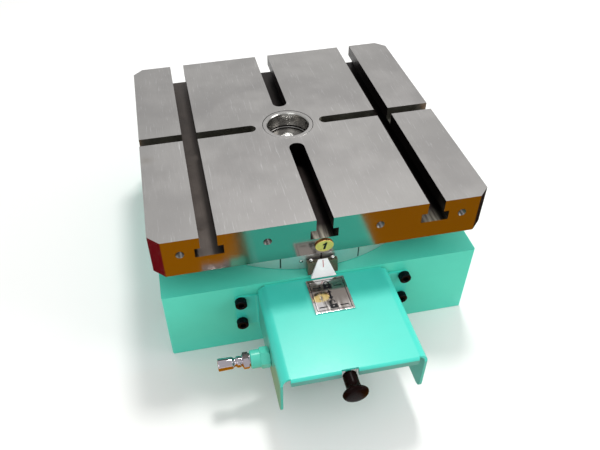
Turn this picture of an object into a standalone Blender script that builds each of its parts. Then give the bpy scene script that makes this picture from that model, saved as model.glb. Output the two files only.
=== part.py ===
"""Hand-indexed rotary table with a square T-slotted top, served by air.

Metres, +Z up.  The origin is on the rotation axis, at the underside of the
base.  The front (pointer, cover, knob) faces -Y.
"""
import bpy
import bmesh
import math
from mathutils import Vector, Matrix

MM = 0.001

# ---------------------------------------------------------------- dimensions
GAP = 0.3               # between touching pieces

TABLE_SIDE = 360.0      # square table
TABLE_T = 47.0          # table thickness
TABLE_CORNER = 12.2     # corner chamfer
TABLE_TOP = 174.0       # overall height
TABLE_BOT = TABLE_TOP - TABLE_T

SLOT_PITCH = 120.0
SLOT_NECK_W = 18.0
SLOT_NECK_D = 14.0
SLOT_WIDE_W = 30.0
SLOT_WIDE_H = 11.5
SLOT_FLOOR = TABLE_TOP - SLOT_NECK_D - SLOT_WIDE_H
SLOT_END = 41.5         # where the middle slot stops, from the axis
KEY_W = 14.0
KEY_D = 14.0
KEY_END = 39.5
BORE_SEAT_R = 31.0
BUSH_R = 30.7
BUSH_BORE_R = 25.0
BUSH_H = 18.0

SIDE_HOLE_X = (-150.0, -60.0, 60.0, 150.0)
SIDE_HOLE_DROP = 19.1
SIDE_HOLE_R = 3.4
SIDE_HOLE_CSK_R = 4.5
SIDE_HOLE_L = 20.0

DISC_W = 10.0
DISC_H = 7.8
DISC_T = 2.0
DISC_DROP = 35.4

RING_R = 171.0          # graduated ring
RING_IN = 150.0
RING_MARKS = 24
RING_MARK_W = 1.4
RING_MARK_D = 0.9

BASE_X = 177.5          # half width
BASE_Y = 181.5          # half depth
BASE_H = 96.0
BASE_FLOOR = 16.0
BASE_DECK = 14.0
BASE_WALL_X = 36.5
BASE_WALL_Y = 31.5
DECK_R = 140.0          # opening in the deck

BOSS_R = 70.0
BOSS_TOP = 106.0
BOSS_BORE_R = 50.0
BRG_OUT = 62.0          # main bearing
BRG_IN = 40.3
BRG_Z0, BRG_Z1 = 84.0, 102.0
BRG_PITCH = 50.5
BALL_R = 4.7
GROOVE_R = 5.4
BALLS = 8

SPINDLE_FLANGE_R = 66.0
SHAFT_R = 40.0
TAIL_R = 32.0

DRUM_R = 128.0          # index drum
DRUM_NECK_R = 105.0
DRUM_IN = 88.0
DRUM_Z0, DRUM_Z1 = 60.0, 86.0
PIN_Z = 73.0
PIN_R = 6.0
PIN_STROKE = 12.0
INDEX_BUSH_R = 10.0

KNOB_X, KNOB_Z = -5.5, 82.7
KNOB_R = 12.9
STEM_R = 7.2
KNOB_REAR_Y = -306.0

COVER_X = 74.0          # half width of the cover
COVER_TOP = 93.0
COVER_BOT = 36.0
COVER_Y = -309.3
SHEET = 2.7
COVER_BEND = 10.0
LIP_BOT = 83.7
FLANGE_X = 99.5
FLANGE_TOP = 82.0
SCREW_X = 93.5
SCREW_Z = (43.3, 77.0)

PLUG_Y, PLUG_Z = -250.0, 57.0

POCKET_Y = 110.0        # clamp pockets in the base's sides
POCKET_W, POCKET_D = 52.0, 26.0
POCKET_Z0, POCKET_Z1 = 20.0, 64.0
POCKET_SLOT_W = 18.0

# ------------------------------------------------------------------- scene
for o in list(bpy.data.objects):
    bpy.data.objects.remove(o, do_unlink=True)

PARTS = bpy.data.collections.new("rotary_table")
CUTS = bpy.data.collections.new("rotary_table_cutters")
bpy.context.scene.collection.children.link(PARTS)
bpy.context.scene.collection.children.link(CUTS)


def material(name, color, rough, metal):
    m = bpy.data.materials.new(name)
    m.use_nodes = True
    b = m.node_tree.nodes["Principled BSDF"]
    b.inputs["Base Color"].default_value = (*color, 1.0)
    b.inputs["Roughness"].default_value = rough
    b.inputs["Metallic"].default_value = metal
    return m


GROUND = (0.42, 0.40, 0.38)
STEEL = (0.50, 0.49, 0.47)
MINT = (0.10, 0.62, 0.46)
BLACK = (0.012, 0.012, 0.014)


def put(name, bm, mat=None, cutter=False, smooth=None):
    """Make an object from a bmesh (in millimetres)."""
    bmesh.ops.scale(bm, vec=(MM, MM, MM), verts=bm.verts)
    bmesh.ops.recalc_face_normals(bm, faces=bm.faces)
    me = bpy.data.meshes.new(name)
    bm.to_mesh(me)
    bm.free()
    o = bpy.data.objects.new(name, me)
    if cutter:
        CUTS.objects.link(o)
        o.hide_render = True
        o.display_type = 'WIRE'
    else:
        PARTS.objects.link(o)
        if mat:
            me.materials.append(mat)
    if smooth:
        me.shade_smooth()
        me.set_sharp_from_angle(angle=math.radians(smooth))
    return o


def box_bm(lo, hi):
    bm = bmesh.new()
    bmesh.ops.create_cube(bm, size=1.0)
    s = [hi[i] - lo[i] for i in range(3)]
    c = [(hi[i] + lo[i]) / 2 for i in range(3)]
    bmesh.ops.scale(bm, vec=s, verts=bm.verts)
    bmesh.ops.translate(bm, vec=c, verts=bm.verts)
    return bm


def bevel_edges(bm, test, width, segments=1):
    es = [e for e in bm.edges if test(e)]
    bmesh.ops.bevel(bm, geom=es, offset=width, offset_type='OFFSET',
                    segments=segments, profile=0.5, affect='EDGES')


def upright(e):
    a, b = e.verts[0].co, e.verts[1].co
    return abs(a.x - b.x) < 1e-4 and abs(a.y - b.y) < 1e-4


def box(name, lo, hi, mat=None, cutter=False, corner=0.0, segs=3, edge=0.0):
    bm = box_bm(lo, hi)
    if corner:
        bevel_edges(bm, upright, corner, segs)
    if edge:
        z1 = hi[2]
        bevel_edges(bm, lambda e: all(abs(v.co.z - z1) < 1e-4
                                      for v in e.verts), edge, 2)
    return put(name, bm, mat, cutter)


ROT = {'Z': (0.0, 0.0, 0.0), '-Z': (math.pi, 0.0, 0.0),
       '-Y': (math.pi / 2, 0.0, 0.0), 'Y': (-math.pi / 2, 0.0, 0.0),
       'X': (0.0, math.pi / 2, 0.0), '-X': (0.0, -math.pi / 2, 0.0)}


def place(o, loc, axis='Z', parent=None):
    o.location = Vector(loc) * MM
    o.rotation_euler = ROT[axis]
    if parent:
        o.parent = parent
        o.location = o.location - parent.location
    return o


def cyl(name, r, z0, z1, segs=32, loc=(0, 0, 0), axis='Z', cutter=True,
        mat=None, r2=None, turn=0.0, parent=None):
    """Cylinder or cone from z0 to z1 along its own axis."""
    bm = bmesh.new()
    bmesh.ops.create_cone(bm, cap_ends=True, segments=segs, radius1=r,
                          radius2=r if r2 is None else r2, depth=z1 - z0,
                          matrix=Matrix.Translation((0, 0, (z0 + z1) / 2))
                          @ Matrix.Rotation(turn, 4, 'Z'))
    o = put(name, bm, mat, cutter, smooth=None if cutter else 40)
    return place(o, loc, axis, parent)


def turned(name, profile, segs=48, loc=(0, 0, 0), axis='Z', mat=None,
           cutter=False, parent=None, closed=True):
    """Turn a profile of (radius, height) about the piece's own Z."""
    bm = bmesh.new()
    vs = [bm.verts.new((r * MM, 0.0, z * MM)) for r, z in profile]
    for a, b in zip(vs, vs[1:]):
        bm.edges.new((a, b))
    if closed:
        bm.edges.new((vs[-1], vs[0]))
    me = bpy.data.meshes.new(name)
    bm.to_mesh(me)
    bm.free()
    o = bpy.data.objects.new(name, me)
    (CUTS if cutter else PARTS).objects.link(o)
    if cutter:
        o.hide_render = True
        o.display_type = 'WIRE'
    elif mat:
        me.materials.append(mat)
    m = o.modifiers.new("turn", 'SCREW')
    m.axis = 'Z'
    m.angle = 2 * math.pi
    m.screw_offset = 0.0
    m.steps = segs
    m.render_steps = segs
    m.use_merge_vertices = True
    m.merge_threshold = 0.000005
    m.use_smooth_shade = False
    return place(o, loc, axis, parent)


def outline(name, pts, z0, z1, mat=None, cutter=False, loc=(0, 0, 0),
            axis='Z', parent=None):
    """Flat outline raised from z0 to z1: a filled 2D curve made a mesh."""
    cu = bpy.data.curves.new(name + "_line", 'CURVE')
    cu.dimensions = '2D'
    cu.fill_mode = 'BOTH'
    cu.extrude = (z1 - z0) / 2 * MM
    sp = cu.splines.new('POLY')
    sp.points.add(len(pts) - 1)
    for p, (x, y) in zip(sp.points, pts):
        p.co = (x * MM, y * MM, 0.0, 1.0)
    sp.use_cyclic_u = True
    tmp = bpy.data.objects.new(name + "_line", cu)
    bpy.context.scene.collection.objects.link(tmp)
    bpy.context.view_layer.update()
    dg = bpy.context.evaluated_depsgraph_get()
    me = bpy.data.meshes.new_from_object(tmp.evaluated_get(dg))
    bpy.data.objects.remove(tmp, do_unlink=True)
    bm = bmesh.new()
    bm.from_mesh(me)
    bpy.data.meshes.remove(me)
    bmesh.ops.remove_doubles(bm, verts=bm.verts, dist=1e-7)
    bmesh.ops.translate(bm, vec=(0, 0, (z0 + z1) / 2 * MM), verts=bm.verts)
    bmesh.ops.scale(bm, vec=(1000, 1000, 1000), verts=bm.verts)
    o = put(name, bm, mat, cutter)
    return place(o, loc, axis, parent)


def bool_with(o, other, op='DIFFERENCE'):
    m = o.modifiers.new(op.lower(), 'BOOLEAN')
    m.operation = op
    m.solver = 'EXACT'
    m.object = other
    return m


def arc(cx, cy, r, a0, a1, n):
    return [(cx + r * math.cos(math.radians(a0 + (a1 - a0) * i / n)),
             cy + r * math.sin(math.radians(a0 + (a1 - a0) * i / n)))
            for i in range(n + 1)]


def empty(name, loc):
    e = bpy.data.objects.new(name, None)
    e.empty_display_size = 0.03
    e.location = Vector(loc) * MM
    PARTS.objects.link(e)
    return e


AX_TABLE = empty("table_axis", (0, 0, 0))
AX_CAGE = empty("cage_axis", (0, 0, 0))
AX_KNOB = empty("knob_axis", (KNOB_X, KNOB_REAR_Y, KNOB_Z))
AX_PIN = empty("pin_axis", (0, -130.0, PIN_Z))
AX_CLAMP = empty("clamp_axis", (0, 0, 0))

# --------------------------------------------------------------- table plate
M = material("table_plate", GROUND, 0.32, 1.0)
bm = box_bm((-TABLE_SIDE / 2, -TABLE_SIDE / 2, TABLE_BOT),
            (TABLE_SIDE / 2, TABLE_SIDE / 2, TABLE_TOP))
bevel_edges(bm, upright, TABLE_CORNER, 1)
plate = put("table_plate", bm, M)
plate.parent = AX_TABLE


def t_slot(name, x, y0, y1, round_at=None):
    """Neck and wide part of a T-slot along Y; one end may be round."""
    far = 1 if round_at and round_at > 0 else -1
    for part, w, z0, z1 in (("neck", SLOT_NECK_W, SLOT_FLOOR + 4.0,
                             TABLE_TOP + 2),
                            ("wide", SLOT_WIDE_W, SLOT_FLOOR,
                             TABLE_TOP - SLOT_NECK_D)):
        n = "%s_%s" % (name, part)
        if round_at is None:
            c = box(n, (x - w / 2, y0, z0), (x + w / 2, y1, z1), cutter=True)
        else:
            # the cutter's centre stops one neck radius short of the end
            cy = round_at + far * SLOT_NECK_W / 2
            end = y1 if far > 0 else y0
            if far > 0:
                pts = [(x + w / 2, end), (x - w / 2, end)] + \
                    arc(x, cy, w / 2, 180, 360, 10)
            else:
                pts = [(x - w / 2, end), (x + w / 2, end)] + \
                    arc(x, cy, w / 2, 0, 180, 10)
            c = outline(n, pts, z0, z1, cutter=True)
        bool_with(plate, c)


HALF = TABLE_SIDE / 2 + 3
t_slot("slot_left", -SLOT_PITCH, -HALF, HALF)
t_slot("slot_right", SLOT_PITCH, -HALF, HALF)
t_slot("slot_front", 0.0, -HALF, 0, -SLOT_END)
t_slot("slot_rear", 0.0, 0, HALF, SLOT_END)
for side, s in (("left", -1), ("right", 1)):
    cx = s * (KEY_END + KEY_W / 2)
    if s < 0:
        pts = [(-HALF, KEY_W / 2), (-HALF, -KEY_W / 2)] + \
            arc(cx, 0, KEY_W / 2, -90, 90, 8)
    else:
        pts = [(HALF, -KEY_W / 2), (HALF, KEY_W / 2)] + \
            arc(cx, 0, KEY_W / 2, 90, 270, 8)
    c = outline("key_" + side, pts, TABLE_TOP - KEY_D + 0.02, TABLE_TOP + 2,
                cutter=True)
    bool_with(plate, c)
bool_with(plate, cyl("plate_bore", BORE_SEAT_R, TABLE_BOT - 2, TABLE_TOP + 2,
                     64))

# tapped holes in the four side faces, each with its countersink
z = TABLE_TOP - SIDE_HOLE_DROP
k = 0
for ang in range(4):
    rot = Matrix.Rotation(ang * math.pi / 2, 4, 'Z')
    for x in SIDE_HOLE_X:
        p = rot @ Vector((x, -TABLE_SIDE / 2, z))
        c = turned("side_hole_%02d" % k,
                   [(0, 2.0), (SIDE_HOLE_CSK_R, 2.0), (SIDE_HOLE_CSK_R, 0.0),
                    (SIDE_HOLE_R, -1.1), (SIDE_HOLE_R, -SIDE_HOLE_L),
                    (0, -SIDE_HOLE_L - 1.5)], 10, cutter=True, closed=False)
        c.location = p * MM
        c.rotation_euler = (math.pi / 2, 0, ang * math.pi / 2)
        bool_with(plate, c)
        k += 1

# --------------------------------------------------------- centre of the top
turned("center_bush",
       [(BUSH_BORE_R + 0.8, TABLE_TOP), (BUSH_R - 0.5, TABLE_TOP),
        (BUSH_R, TABLE_TOP - 0.5), (BUSH_R, TABLE_TOP - BUSH_H),
        (BUSH_BORE_R, TABLE_TOP - BUSH_H),
        (BUSH_BORE_R, TABLE_TOP - 0.8)], 48,
       mat=material("center_bush", (0.62, 0.61, 0.58), 0.18, 1.0),
       parent=AX_TABLE)

SP_TOP = TABLE_TOP - BUSH_H - 2.0
spindle = turned(
    "spindle",
    [(0, SP_TOP), (BUSH_R - 0.8, SP_TOP), (BUSH_R, SP_TOP - 0.8),
     (BUSH_R, TABLE_BOT - GAP), (SPINDLE_FLANGE_R, TABLE_BOT - GAP),
     (SPINDLE_FLANGE_R, 113.0), (SHAFT_R + 4, 113.0),
     (SHAFT_R + 4, BRG_Z1 + GAP), (SHAFT_R, BRG_Z1 + GAP), (SHAFT_R, 70.0),
     (TAIL_R, 68.0), (TAIL_R, 22.0), (0, 22.0)], 36,
    mat=material("spindle", (0.55, 0.54, 0.52), 0.25, 1.0),
    parent=AX_TABLE, closed=False)
bool_with(spindle, cyl("spindle_tap", 4.2, SP_TOP - 20, SP_TOP + 2, 12))


def cap_screw(name, head_r, head_h, shank_r, shank_l, af, loc, axis, mat,
              parent=None, segs=20, sink=0.0, edge=0.7):
    """Socket head cap screw; its own Z=0 is the seat under the head."""
    o = turned(name,
               [(0, head_h), (head_r - edge, head_h), (head_r, head_h - edge),
                (head_r, 0), (shank_r, 0), (shank_r, -shank_l + 0.8),
                (shank_r - 0.8, -shank_l), (0, -shank_l)], segs, loc=loc,
               axis=axis, mat=mat, parent=parent, closed=False)
    c = cyl(name + "_socket", af / math.sqrt(3), head_h - sink, head_h + 2, 6,
            loc=loc, axis=axis)
    bool_with(o, c)
    return o


cap_screw("spindle_center_screw", 9.0, 5.0, 3.9, 16.0, 6.0,
          (0, 0, SP_TOP + GAP), 'Z',
          material("center_screw", (0.75, 0.75, 0.73), 0.15, 1.0),
          AX_TABLE, 24, sink=3.0, edge=2.2)
turned("spindle_nut",
       [(SHAFT_R + GAP, BRG_Z0 - GAP), (47.5, BRG_Z0 - GAP), (47.5, 72.0),
        (SHAFT_R + GAP, 72.0)], 28,
       mat=material("spindle_nut", (0.18, 0.18, 0.19), 0.4, 1.0),
       parent=AX_TABLE)

# --------------------------------------------------------------- number discs
M = material("number_disc", (0.62, 0.50, 0.13), 0.3, 1.0)
for i in range(4):
    a = i * math.pi / 2
    rot = Matrix.Rotation(a, 4, 'Z')
    p = rot @ Vector((0, -TABLE_SIDE / 2 - GAP, TABLE_TOP - DISC_DROP))
    o = turned("number_disc_%d" % (i + 1),
               [(0, DISC_T), (DISC_W - 0.6, DISC_T), (DISC_W, DISC_T - 0.6),
                (DISC_W, 0), (0, 0)], 28, mat=M, closed=False)
    for v in o.data.vertices:
        v.co.y *= DISC_H / DISC_W
    o.location = p * MM
    o.rotation_euler = (math.pi / 2, 0, a)
    o.parent = AX_TABLE

# ------------------------------------------------------------ graduated ring
ring = turned("graduated_ring",
              [(RING_IN, TABLE_BOT - GAP), (RING_R, TABLE_BOT - GAP),
               (RING_R, BASE_H + 0.9), (RING_R - 0.5, BASE_H + 0.4),
               (RING_IN, BASE_H + 0.4)], 72,
              mat=material("graduated_ring", (0.60, 0.58, 0.56), 0.22, 1.0),
              parent=AX_TABLE)
bm = bmesh.new()
for i in range(RING_MARKS):
    a = 2 * math.pi * i / RING_MARKS
    bmesh.ops.create_cube(
        bm, size=1.0,
        matrix=Matrix.Rotation(a, 4, 'Z')
        @ Matrix.Translation((0, -RING_R, (TABLE_BOT + BASE_H) / 2))
        @ Matrix.Diagonal((RING_MARK_W, 2 * RING_MARK_D,
                           TABLE_BOT - BASE_H - 4.0, 1)))
bool_with(ring, put("ring_marks", bm, cutter=True))

# ---------------------------------------------------------------- index drum
drum = turned("index_drum",
              [(DRUM_IN, TABLE_BOT - GAP), (DRUM_NECK_R + 12, TABLE_BOT - GAP),
               (DRUM_NECK_R + 12, 118.0), (DRUM_NECK_R, 118.0),
               (DRUM_NECK_R, DRUM_Z1), (DRUM_R, DRUM_Z1), (DRUM_R, DRUM_Z0),
               (DRUM_IN, DRUM_Z0)], 40,
              mat=material("index_drum", (0.35, 0.34, 0.33), 0.4, 1.0),
              parent=AX_TABLE)
M = material("index_bush", (0.6, 0.6, 0.6), 0.2, 1.0)
for i in range(4):
    a = i * math.pi / 2
    rot = Matrix.Rotation(a, 4, 'Z')
    p = rot @ Vector((0, -DRUM_R, PIN_Z))
    c = cyl("drum_hole_%d" % (i + 1), INDEX_BUSH_R + GAP, -60, 5, 16)
    c.location = p * MM
    c.rotation_euler = (math.pi / 2, 0, a)
    bool_with(drum, c)
    o = turned("index_bush_%d" % (i + 1),
               [(PIN_R + 1.0, -0.8), (INDEX_BUSH_R - 0.4, -0.8),
                (INDEX_BUSH_R, -1.2), (INDEX_BUSH_R, -26.0),
                (PIN_R + GAP, -26.0), (PIN_R + GAP, -1.6)], 16, mat=M)
    o.location = p * MM
    o.rotation_euler = (math.pi / 2, 0, a)
    o.parent = AX_TABLE

# -------------------------------------------------------------- main bearing
MID = (BRG_Z0 + BRG_Z1) / 2
GR = GROOVE_R


def race(out, r_edge, r_back, name):
    """A race with a groove round the balls' pitch circle."""
    d = abs(BRG_PITCH - r_edge)
    half = math.degrees(math.acos(d / GR))
    if out:
        pts = [(r_back, BRG_Z1), (r_back, BRG_Z0), (r_edge, BRG_Z0)]
        pts += [(x, y) for x, y in arc(BRG_PITCH, MID, GR, -half, half, 4)]
        pts += [(r_edge, BRG_Z1)]
    else:
        pts = [(r_edge, BRG_Z1)]
        pts += [(x, y) for x, y in arc(BRG_PITCH, MID, GR, 180 - half,
                                       180 + half, 4)]
        pts += [(r_edge, BRG_Z0), (r_back, BRG_Z0), (r_back, BRG_Z1)]
    return turned(name, pts, 32, mat=RACE)


RACE = material("bearing_steel", (0.62, 0.62, 0.62), 0.15, 1.0)
race(True, BRG_PITCH + 2.5, BRG_OUT, "bearing_outer_race")
o = race(False, BRG_PITCH - 2.5, BRG_IN, "bearing_inner_race")
o.parent = AX_TABLE
cage = turned("ball_cage",
              [(BRG_PITCH - 1.6, MID + 4.5), (BRG_PITCH + 1.6, MID + 4.5),
               (BRG_PITCH + 1.6, MID - 4.5), (BRG_PITCH - 1.6, MID - 4.5)],
              24, mat=material("ball_cage", (0.55, 0.45, 0.22), 0.35, 1.0),
              parent=AX_CAGE)
bm = bmesh.new()
for i in range(BALLS):
    a = 2 * math.pi * i / BALLS
    bmesh.ops.create_uvsphere(
        bm, u_segments=8, v_segments=4, radius=BALL_R,
        matrix=Matrix.Translation((BRG_PITCH * math.cos(a),
                                   BRG_PITCH * math.sin(a), MID)))
bool_with(cage, put("balls", bm, cutter=True), 'UNION')
turned("bearing_retainer",
       [(BRG_PITCH + 3.0, BOSS_TOP + 4.0), (BOSS_R, BOSS_TOP + 4.0),
        (BOSS_R, BOSS_TOP + GAP), (BRG_OUT, BOSS_TOP + GAP),
        (BRG_OUT, BRG_Z1 + GAP), (BRG_PITCH + 3.0, BRG_Z1 + GAP)], 32,
       mat=material("bearing_retainer", (0.2, 0.2, 0.2), 0.45, 1.0))
turned("spindle_lower_bush",
       [(TAIL_R + GAP, 60.0), (TAIL_R + 8.0, 60.0), (TAIL_R + 8.0, 30.0),
        (TAIL_R + GAP, 30.0)], 28,
       mat=material("bronze", (0.50, 0.30, 0.12), 0.35, 1.0))

# -------------------------------------------------------------- base casting
MB = material("base_paint", MINT, 0.42, 0.0)
base = box("base_casting", (-BASE_X, -BASE_Y, 0), (BASE_X, BASE_Y, BASE_H),
           MB, corner=2.5, segs=3, edge=1.6)
cav = box("base_cavity", (-BASE_X + BASE_WALL_X, -BASE_Y + BASE_WALL_Y,
                          BASE_FLOOR),
          (BASE_X - BASE_WALL_X, BASE_Y - BASE_WALL_Y, BASE_H - BASE_DECK),
          cutter=True, corner=25.0, segs=4)
bool_with(base, cav)
bool_with(base, cyl("deck_cut", DECK_R, BASE_H - BASE_DECK - 5, BASE_H + 5, 96))
bool_with(base, cyl("boss", BOSS_R, BASE_FLOOR - 6, BOSS_TOP, 40), 'UNION')
bool_with(base, cyl("boss_seat", BRG_OUT + GAP, BRG_Z0 - GAP, BOSS_TOP + 5,
                    40))
bool_with(base, cyl("boss_bore", BOSS_BORE_R, 61.0, BRG_Z0 + 5, 28))
bool_with(base, cyl("boss_low", TAIL_R + 8.0 + GAP, 29.7, 65.0, 28))
bool_with(base, cyl("boss_tail", TAIL_R + 4.0, 19.0, 40.0, 28))
bool_with(base, cyl("pin_tunnel", 15.3, 0.0, 60.0, 24,
                    loc=(0, -BASE_Y + 45.0, PIN_Z), axis='-Y'))
k = 0
for sx in (-1, 1):
    for sy in (-1, 1):
        x1, x0 = sx * (BASE_X + 5), sx * (BASE_X - POCKET_D)
        y = sy * POCKET_Y
        k += 1
        c = box("pocket_%d" % k,
                (min(x0, x1), y - POCKET_W / 2, POCKET_Z0),
                (max(x0, x1), y + POCKET_W / 2, POCKET_Z1), cutter=True)
        bool_with(base, c)
        cx = sx * (BASE_X - POCKET_D + POCKET_SLOT_W / 2 + 3)
        r = POCKET_SLOT_W / 2
        if sx > 0:
            pts = [(BASE_X + 5, y - r), (BASE_X + 5, y + r)] + \
                arc(cx, y, r, 90, 270, 8)
        else:
            pts = [(-BASE_X - 5, y + r), (-BASE_X - 5, y - r)] + \
                arc(cx, y, r, -90, 90, 8)
        c = outline("pocket_slot_%d" % k, pts, -3, POCKET_Z0 + 3, cutter=True)
        bool_with(base, c)

# ------------------------------------------------- annular clamp under drum
cc = turned("clamp_cylinder",
            [(95.7, 46.0), (95.7, 22.0), (120.3, 22.0), (120.3, 46.0),
             (128.0, 46.0), (128.0, BASE_FLOOR + GAP),
             (DRUM_IN, BASE_FLOOR + GAP), (DRUM_IN, 46.0)], 32,
            mat=material("clamp_cylinder", (0.3, 0.3, 0.3), 0.45, 1.0))
turned("clamp_piston",
       [(96.0, 58.6), (120.0, 58.6), (120.0, 42.2), (118.5, 42.2),
        (118.5, 38.8), (120.0, 38.8), (120.0, 30.0), (96.0, 30.0)], 32,
       mat=material("clamp_piston", (0.55, 0.54, 0.52), 0.3, 1.0),
       parent=AX_CLAMP)
turned("clamp_seal",
       [(118.8, 41.8), (120.1, 41.8), (120.1, 39.2), (118.8, 39.2)], 32,
       mat=material("seal_rubber", (0.02, 0.02, 0.02), 0.7, 0.0),
       parent=AX_CLAMP)

# ----------------------------------------------------- index pin and housing
Y_WALL = -BASE_Y - GAP          # seat on the base's front face
housing = turned("index_housing",
                 [(10.8, 52.0), (15.0, 52.0), (15.0, 1.0), (15.0, 0.0),
                  (6.0 + GAP + 6.0, 0.0), (12.3, 13.0), (10.8, 13.0)],
                 24, loc=(0, -137.0, PIN_Z), axis='-Y',
                 mat=material("index_housing", (0.4, 0.4, 0.41), 0.4, 1.0))
c = box("housing_flange", (-27, -191.0, PIN_Z - 15.3),
        (27, Y_WALL, PIN_Z + 15.3), cutter=True)
bool_with(housing, c, 'UNION')
bool_with(housing, cyl("housing_bore", 10.8, 13.0, 70.0, 24,
                       loc=(0, -137.0, PIN_Z), axis='-Y'))
turned("pin_guide_bush",
       [(PIN_R + GAP, 12.7), (12.0, 12.7), (12.0, 0.0), (PIN_R + GAP, 0.0)],
       20, loc=(0, -137.0, PIN_Z), axis='-Y',
       mat=bpy.data.materials["bronze"])
turned("index_pin",
       [(0, 0), (PIN_R - 1.4, 0.0), (PIN_R - 0.2, -9.0), (PIN_R, -9.3),
        (PIN_R, -50.5), (4.0, -50.5), (4.0, -58.0), (0, -58.0)], 20,
       loc=(0, -130.0, PIN_Z), axis='Y',
       mat=material("index_pin", (0.62, 0.62, 0.62), 0.15, 1.0),
       parent=AX_PIN, closed=False)
turned("pin_piston",
       [(4.0 + GAP, -50.5 - GAP), (10.5, -50.5 - GAP), (10.5, -52.6),
        (9.0, -52.6), (9.0, -55.4), (10.5, -55.4), (10.5, -58.0),
        (4.0 + GAP, -58.0)], 24,
       loc=(0, -130.0, PIN_Z), axis='Y', mat=bpy.data.materials["index_pin"],
       parent=AX_PIN)
turned("piston_seal",
       [(9.3, -52.9), (10.6, -52.9), (10.6, -55.1), (9.3, -55.1)], 24,
       loc=(0, -130.0, PIN_Z), axis='Y',
       mat=bpy.data.materials["seal_rubber"], parent=AX_PIN)
cap = turned("cylinder_cap",
             [(0, 4.0), (17.0, 4.0), (17.0, 0.0), (10.4, 0.0), (10.4, -2.2),
              (0, -2.2)], 24,
             loc=(0, -191.0 - GAP, PIN_Z), axis='-Y', closed=False,
             mat=material("cylinder_cap", (0.45, 0.45, 0.46), 0.35, 1.0))
bool_with(cap, box("cap_trim", (-30, -200, PIN_Z + 15.3),
                   (30, -190, PIN_Z + 30), cutter=True))
bool_with(cap, box("cap_trim_low", (-30, -200, PIN_Z - 30),
                   (30, -190, PIN_Z - 15.3), cutter=True))
bool_with(cap, cyl("cap_port", 2.0, -10, 10, 12,
                   loc=(0, -191.0, PIN_Z), axis='-Y'))


def wire(name, pts, r, mat, res=2, cyclic=False):
    cu = bpy.data.curves.new(name, 'CURVE')
    cu.dimensions = '3D'
    cu.bevel_depth = r * MM
    cu.bevel_resolution = res
    cu.use_fill_caps = True
    sp = cu.splines.new('POLY')
    sp.points.add(len(pts) - 1)
    for p, q in zip(sp.points, pts):
        p.co = (q[0] * MM, q[1] * MM, q[2] * MM, 1.0)
    sp.use_cyclic_u = cyclic
    o = bpy.data.objects.new(name, cu)
    PARTS.objects.link(o)
    cu.materials.append(mat)
    return o


def smooth_path(keys, step):
    """Catmull-Rom points through the keys, about one step apart."""
    P = [Vector(k) for k in keys]
    P = [2 * P[0] - P[1]] + P + [2 * P[-1] - P[-2]]
    out = []
    for i in range(1, len(P) - 2):
        a, b, c, d = P[i - 1:i + 3]
        n = max(2, int(round((c - b).length / step)))
        for j in range(n):
            t = j / n
            out.append(0.5 * (2 * b + (c - a) * t
                              + (2 * a - 5 * b + 4 * c - d) * t * t
                              + (3 * b - a - 3 * c + d) * t ** 3))
    out.append(P[-2])
    return out


# return spring: free coil between guide bush and piston
S0, S1 = -150.9, -179.8
TURNS, PER = 5.0, 8
pts = []
N = int(TURNS * PER)
for i in range(N + 1):
    t = i / N
    a = 2 * math.pi * TURNS * t
    pts.append((8.4 * math.cos(a), S0 + (S1 - S0) * t,
                PIN_Z + 8.4 * math.sin(a)))
wire("return_spring", pts, 0.75,
     material("spring_steel", (0.3, 0.3, 0.32), 0.3, 1.0))

# --------------------------------------------------------------- front cover
MC = material("cover_paint", MINT, 0.38, 0.0)


def bend(bm, edges, centre, axis, angle, steps):
    """Sweep open edges round a bend line and return the last edges."""
    for _ in range(steps):
        r = bmesh.ops.extrude_edge_only(bm, edges=edges)
        vs = [g for g in r['geom'] if isinstance(g, bmesh.types.BMVert)]
        edges = [g for g in r['geom'] if isinstance(g, bmesh.types.BMEdge)
                 and g.verts[0] in vs and g.verts[1] in vs]
        bmesh.ops.rotate(bm, verts=vs, cent=centre,
                         matrix=Matrix.Rotation(angle / steps, 3, axis))
    return edges


def run(bm, edges, vec):
    r = bmesh.ops.extrude_edge_only(bm, edges=edges)
    vs = [g for g in r['geom'] if isinstance(g, bmesh.types.BMVert)]
    edges = [g for g in r['geom'] if isinstance(g, bmesh.types.BMEdge)
             and g.verts[0] in vs and g.verts[1] in vs]
    bmesh.ops.translate(bm, verts=vs, vec=vec)
    return edges


CORNER_X = COVER_X - COVER_BEND
NOTCH = (-15.5, 3.5)
LIP_R = 3.0
Y_REAR = -BASE_Y - GAP
Y_FACE = Y_REAR - SHEET         # front face of the flanges
FL_R = 3.4                      # bend radius of the flanges, outside face
Y_TOPF = COVER_Y + LIP_R
xs = [-CORNER_X, NOTCH[0], NOTCH[1], CORNER_X]
ys = [Y_TOPF, Y_FACE - FL_R, Y_REAR]
bm = bmesh.new()
vs = [bm.verts.new((x, ys[0], COVER_TOP)) for x in xs]
es = [bm.edges.new((a, b)) for a, b in zip(vs, vs[1:])]
front = list(es)
e1 = run(bm, es, (0, ys[1] - ys[0], 0))
run(bm, e1, (0, ys[2] - ys[1], 0))


def edges_where(f):
    return [e for e in bm.edges if all(f(v.co) for v in e.verts)]


# lip at the front, on both sides of the notch
lip = [e for e in edges_where(lambda c: abs(c.y - Y_TOPF) < 1e-4)
       if not (NOTCH[0] - 1e-3 < (e.verts[0].co.x + e.verts[1].co.x) / 2
               < NOTCH[1] + 1e-3)]
e1 = bend(bm, lip, (0, Y_TOPF, COVER_TOP - LIP_R), 'X', math.pi / 2, 4)
run(bm, e1, (0, 0, LIP_BOT - (COVER_TOP - LIP_R)))
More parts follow.
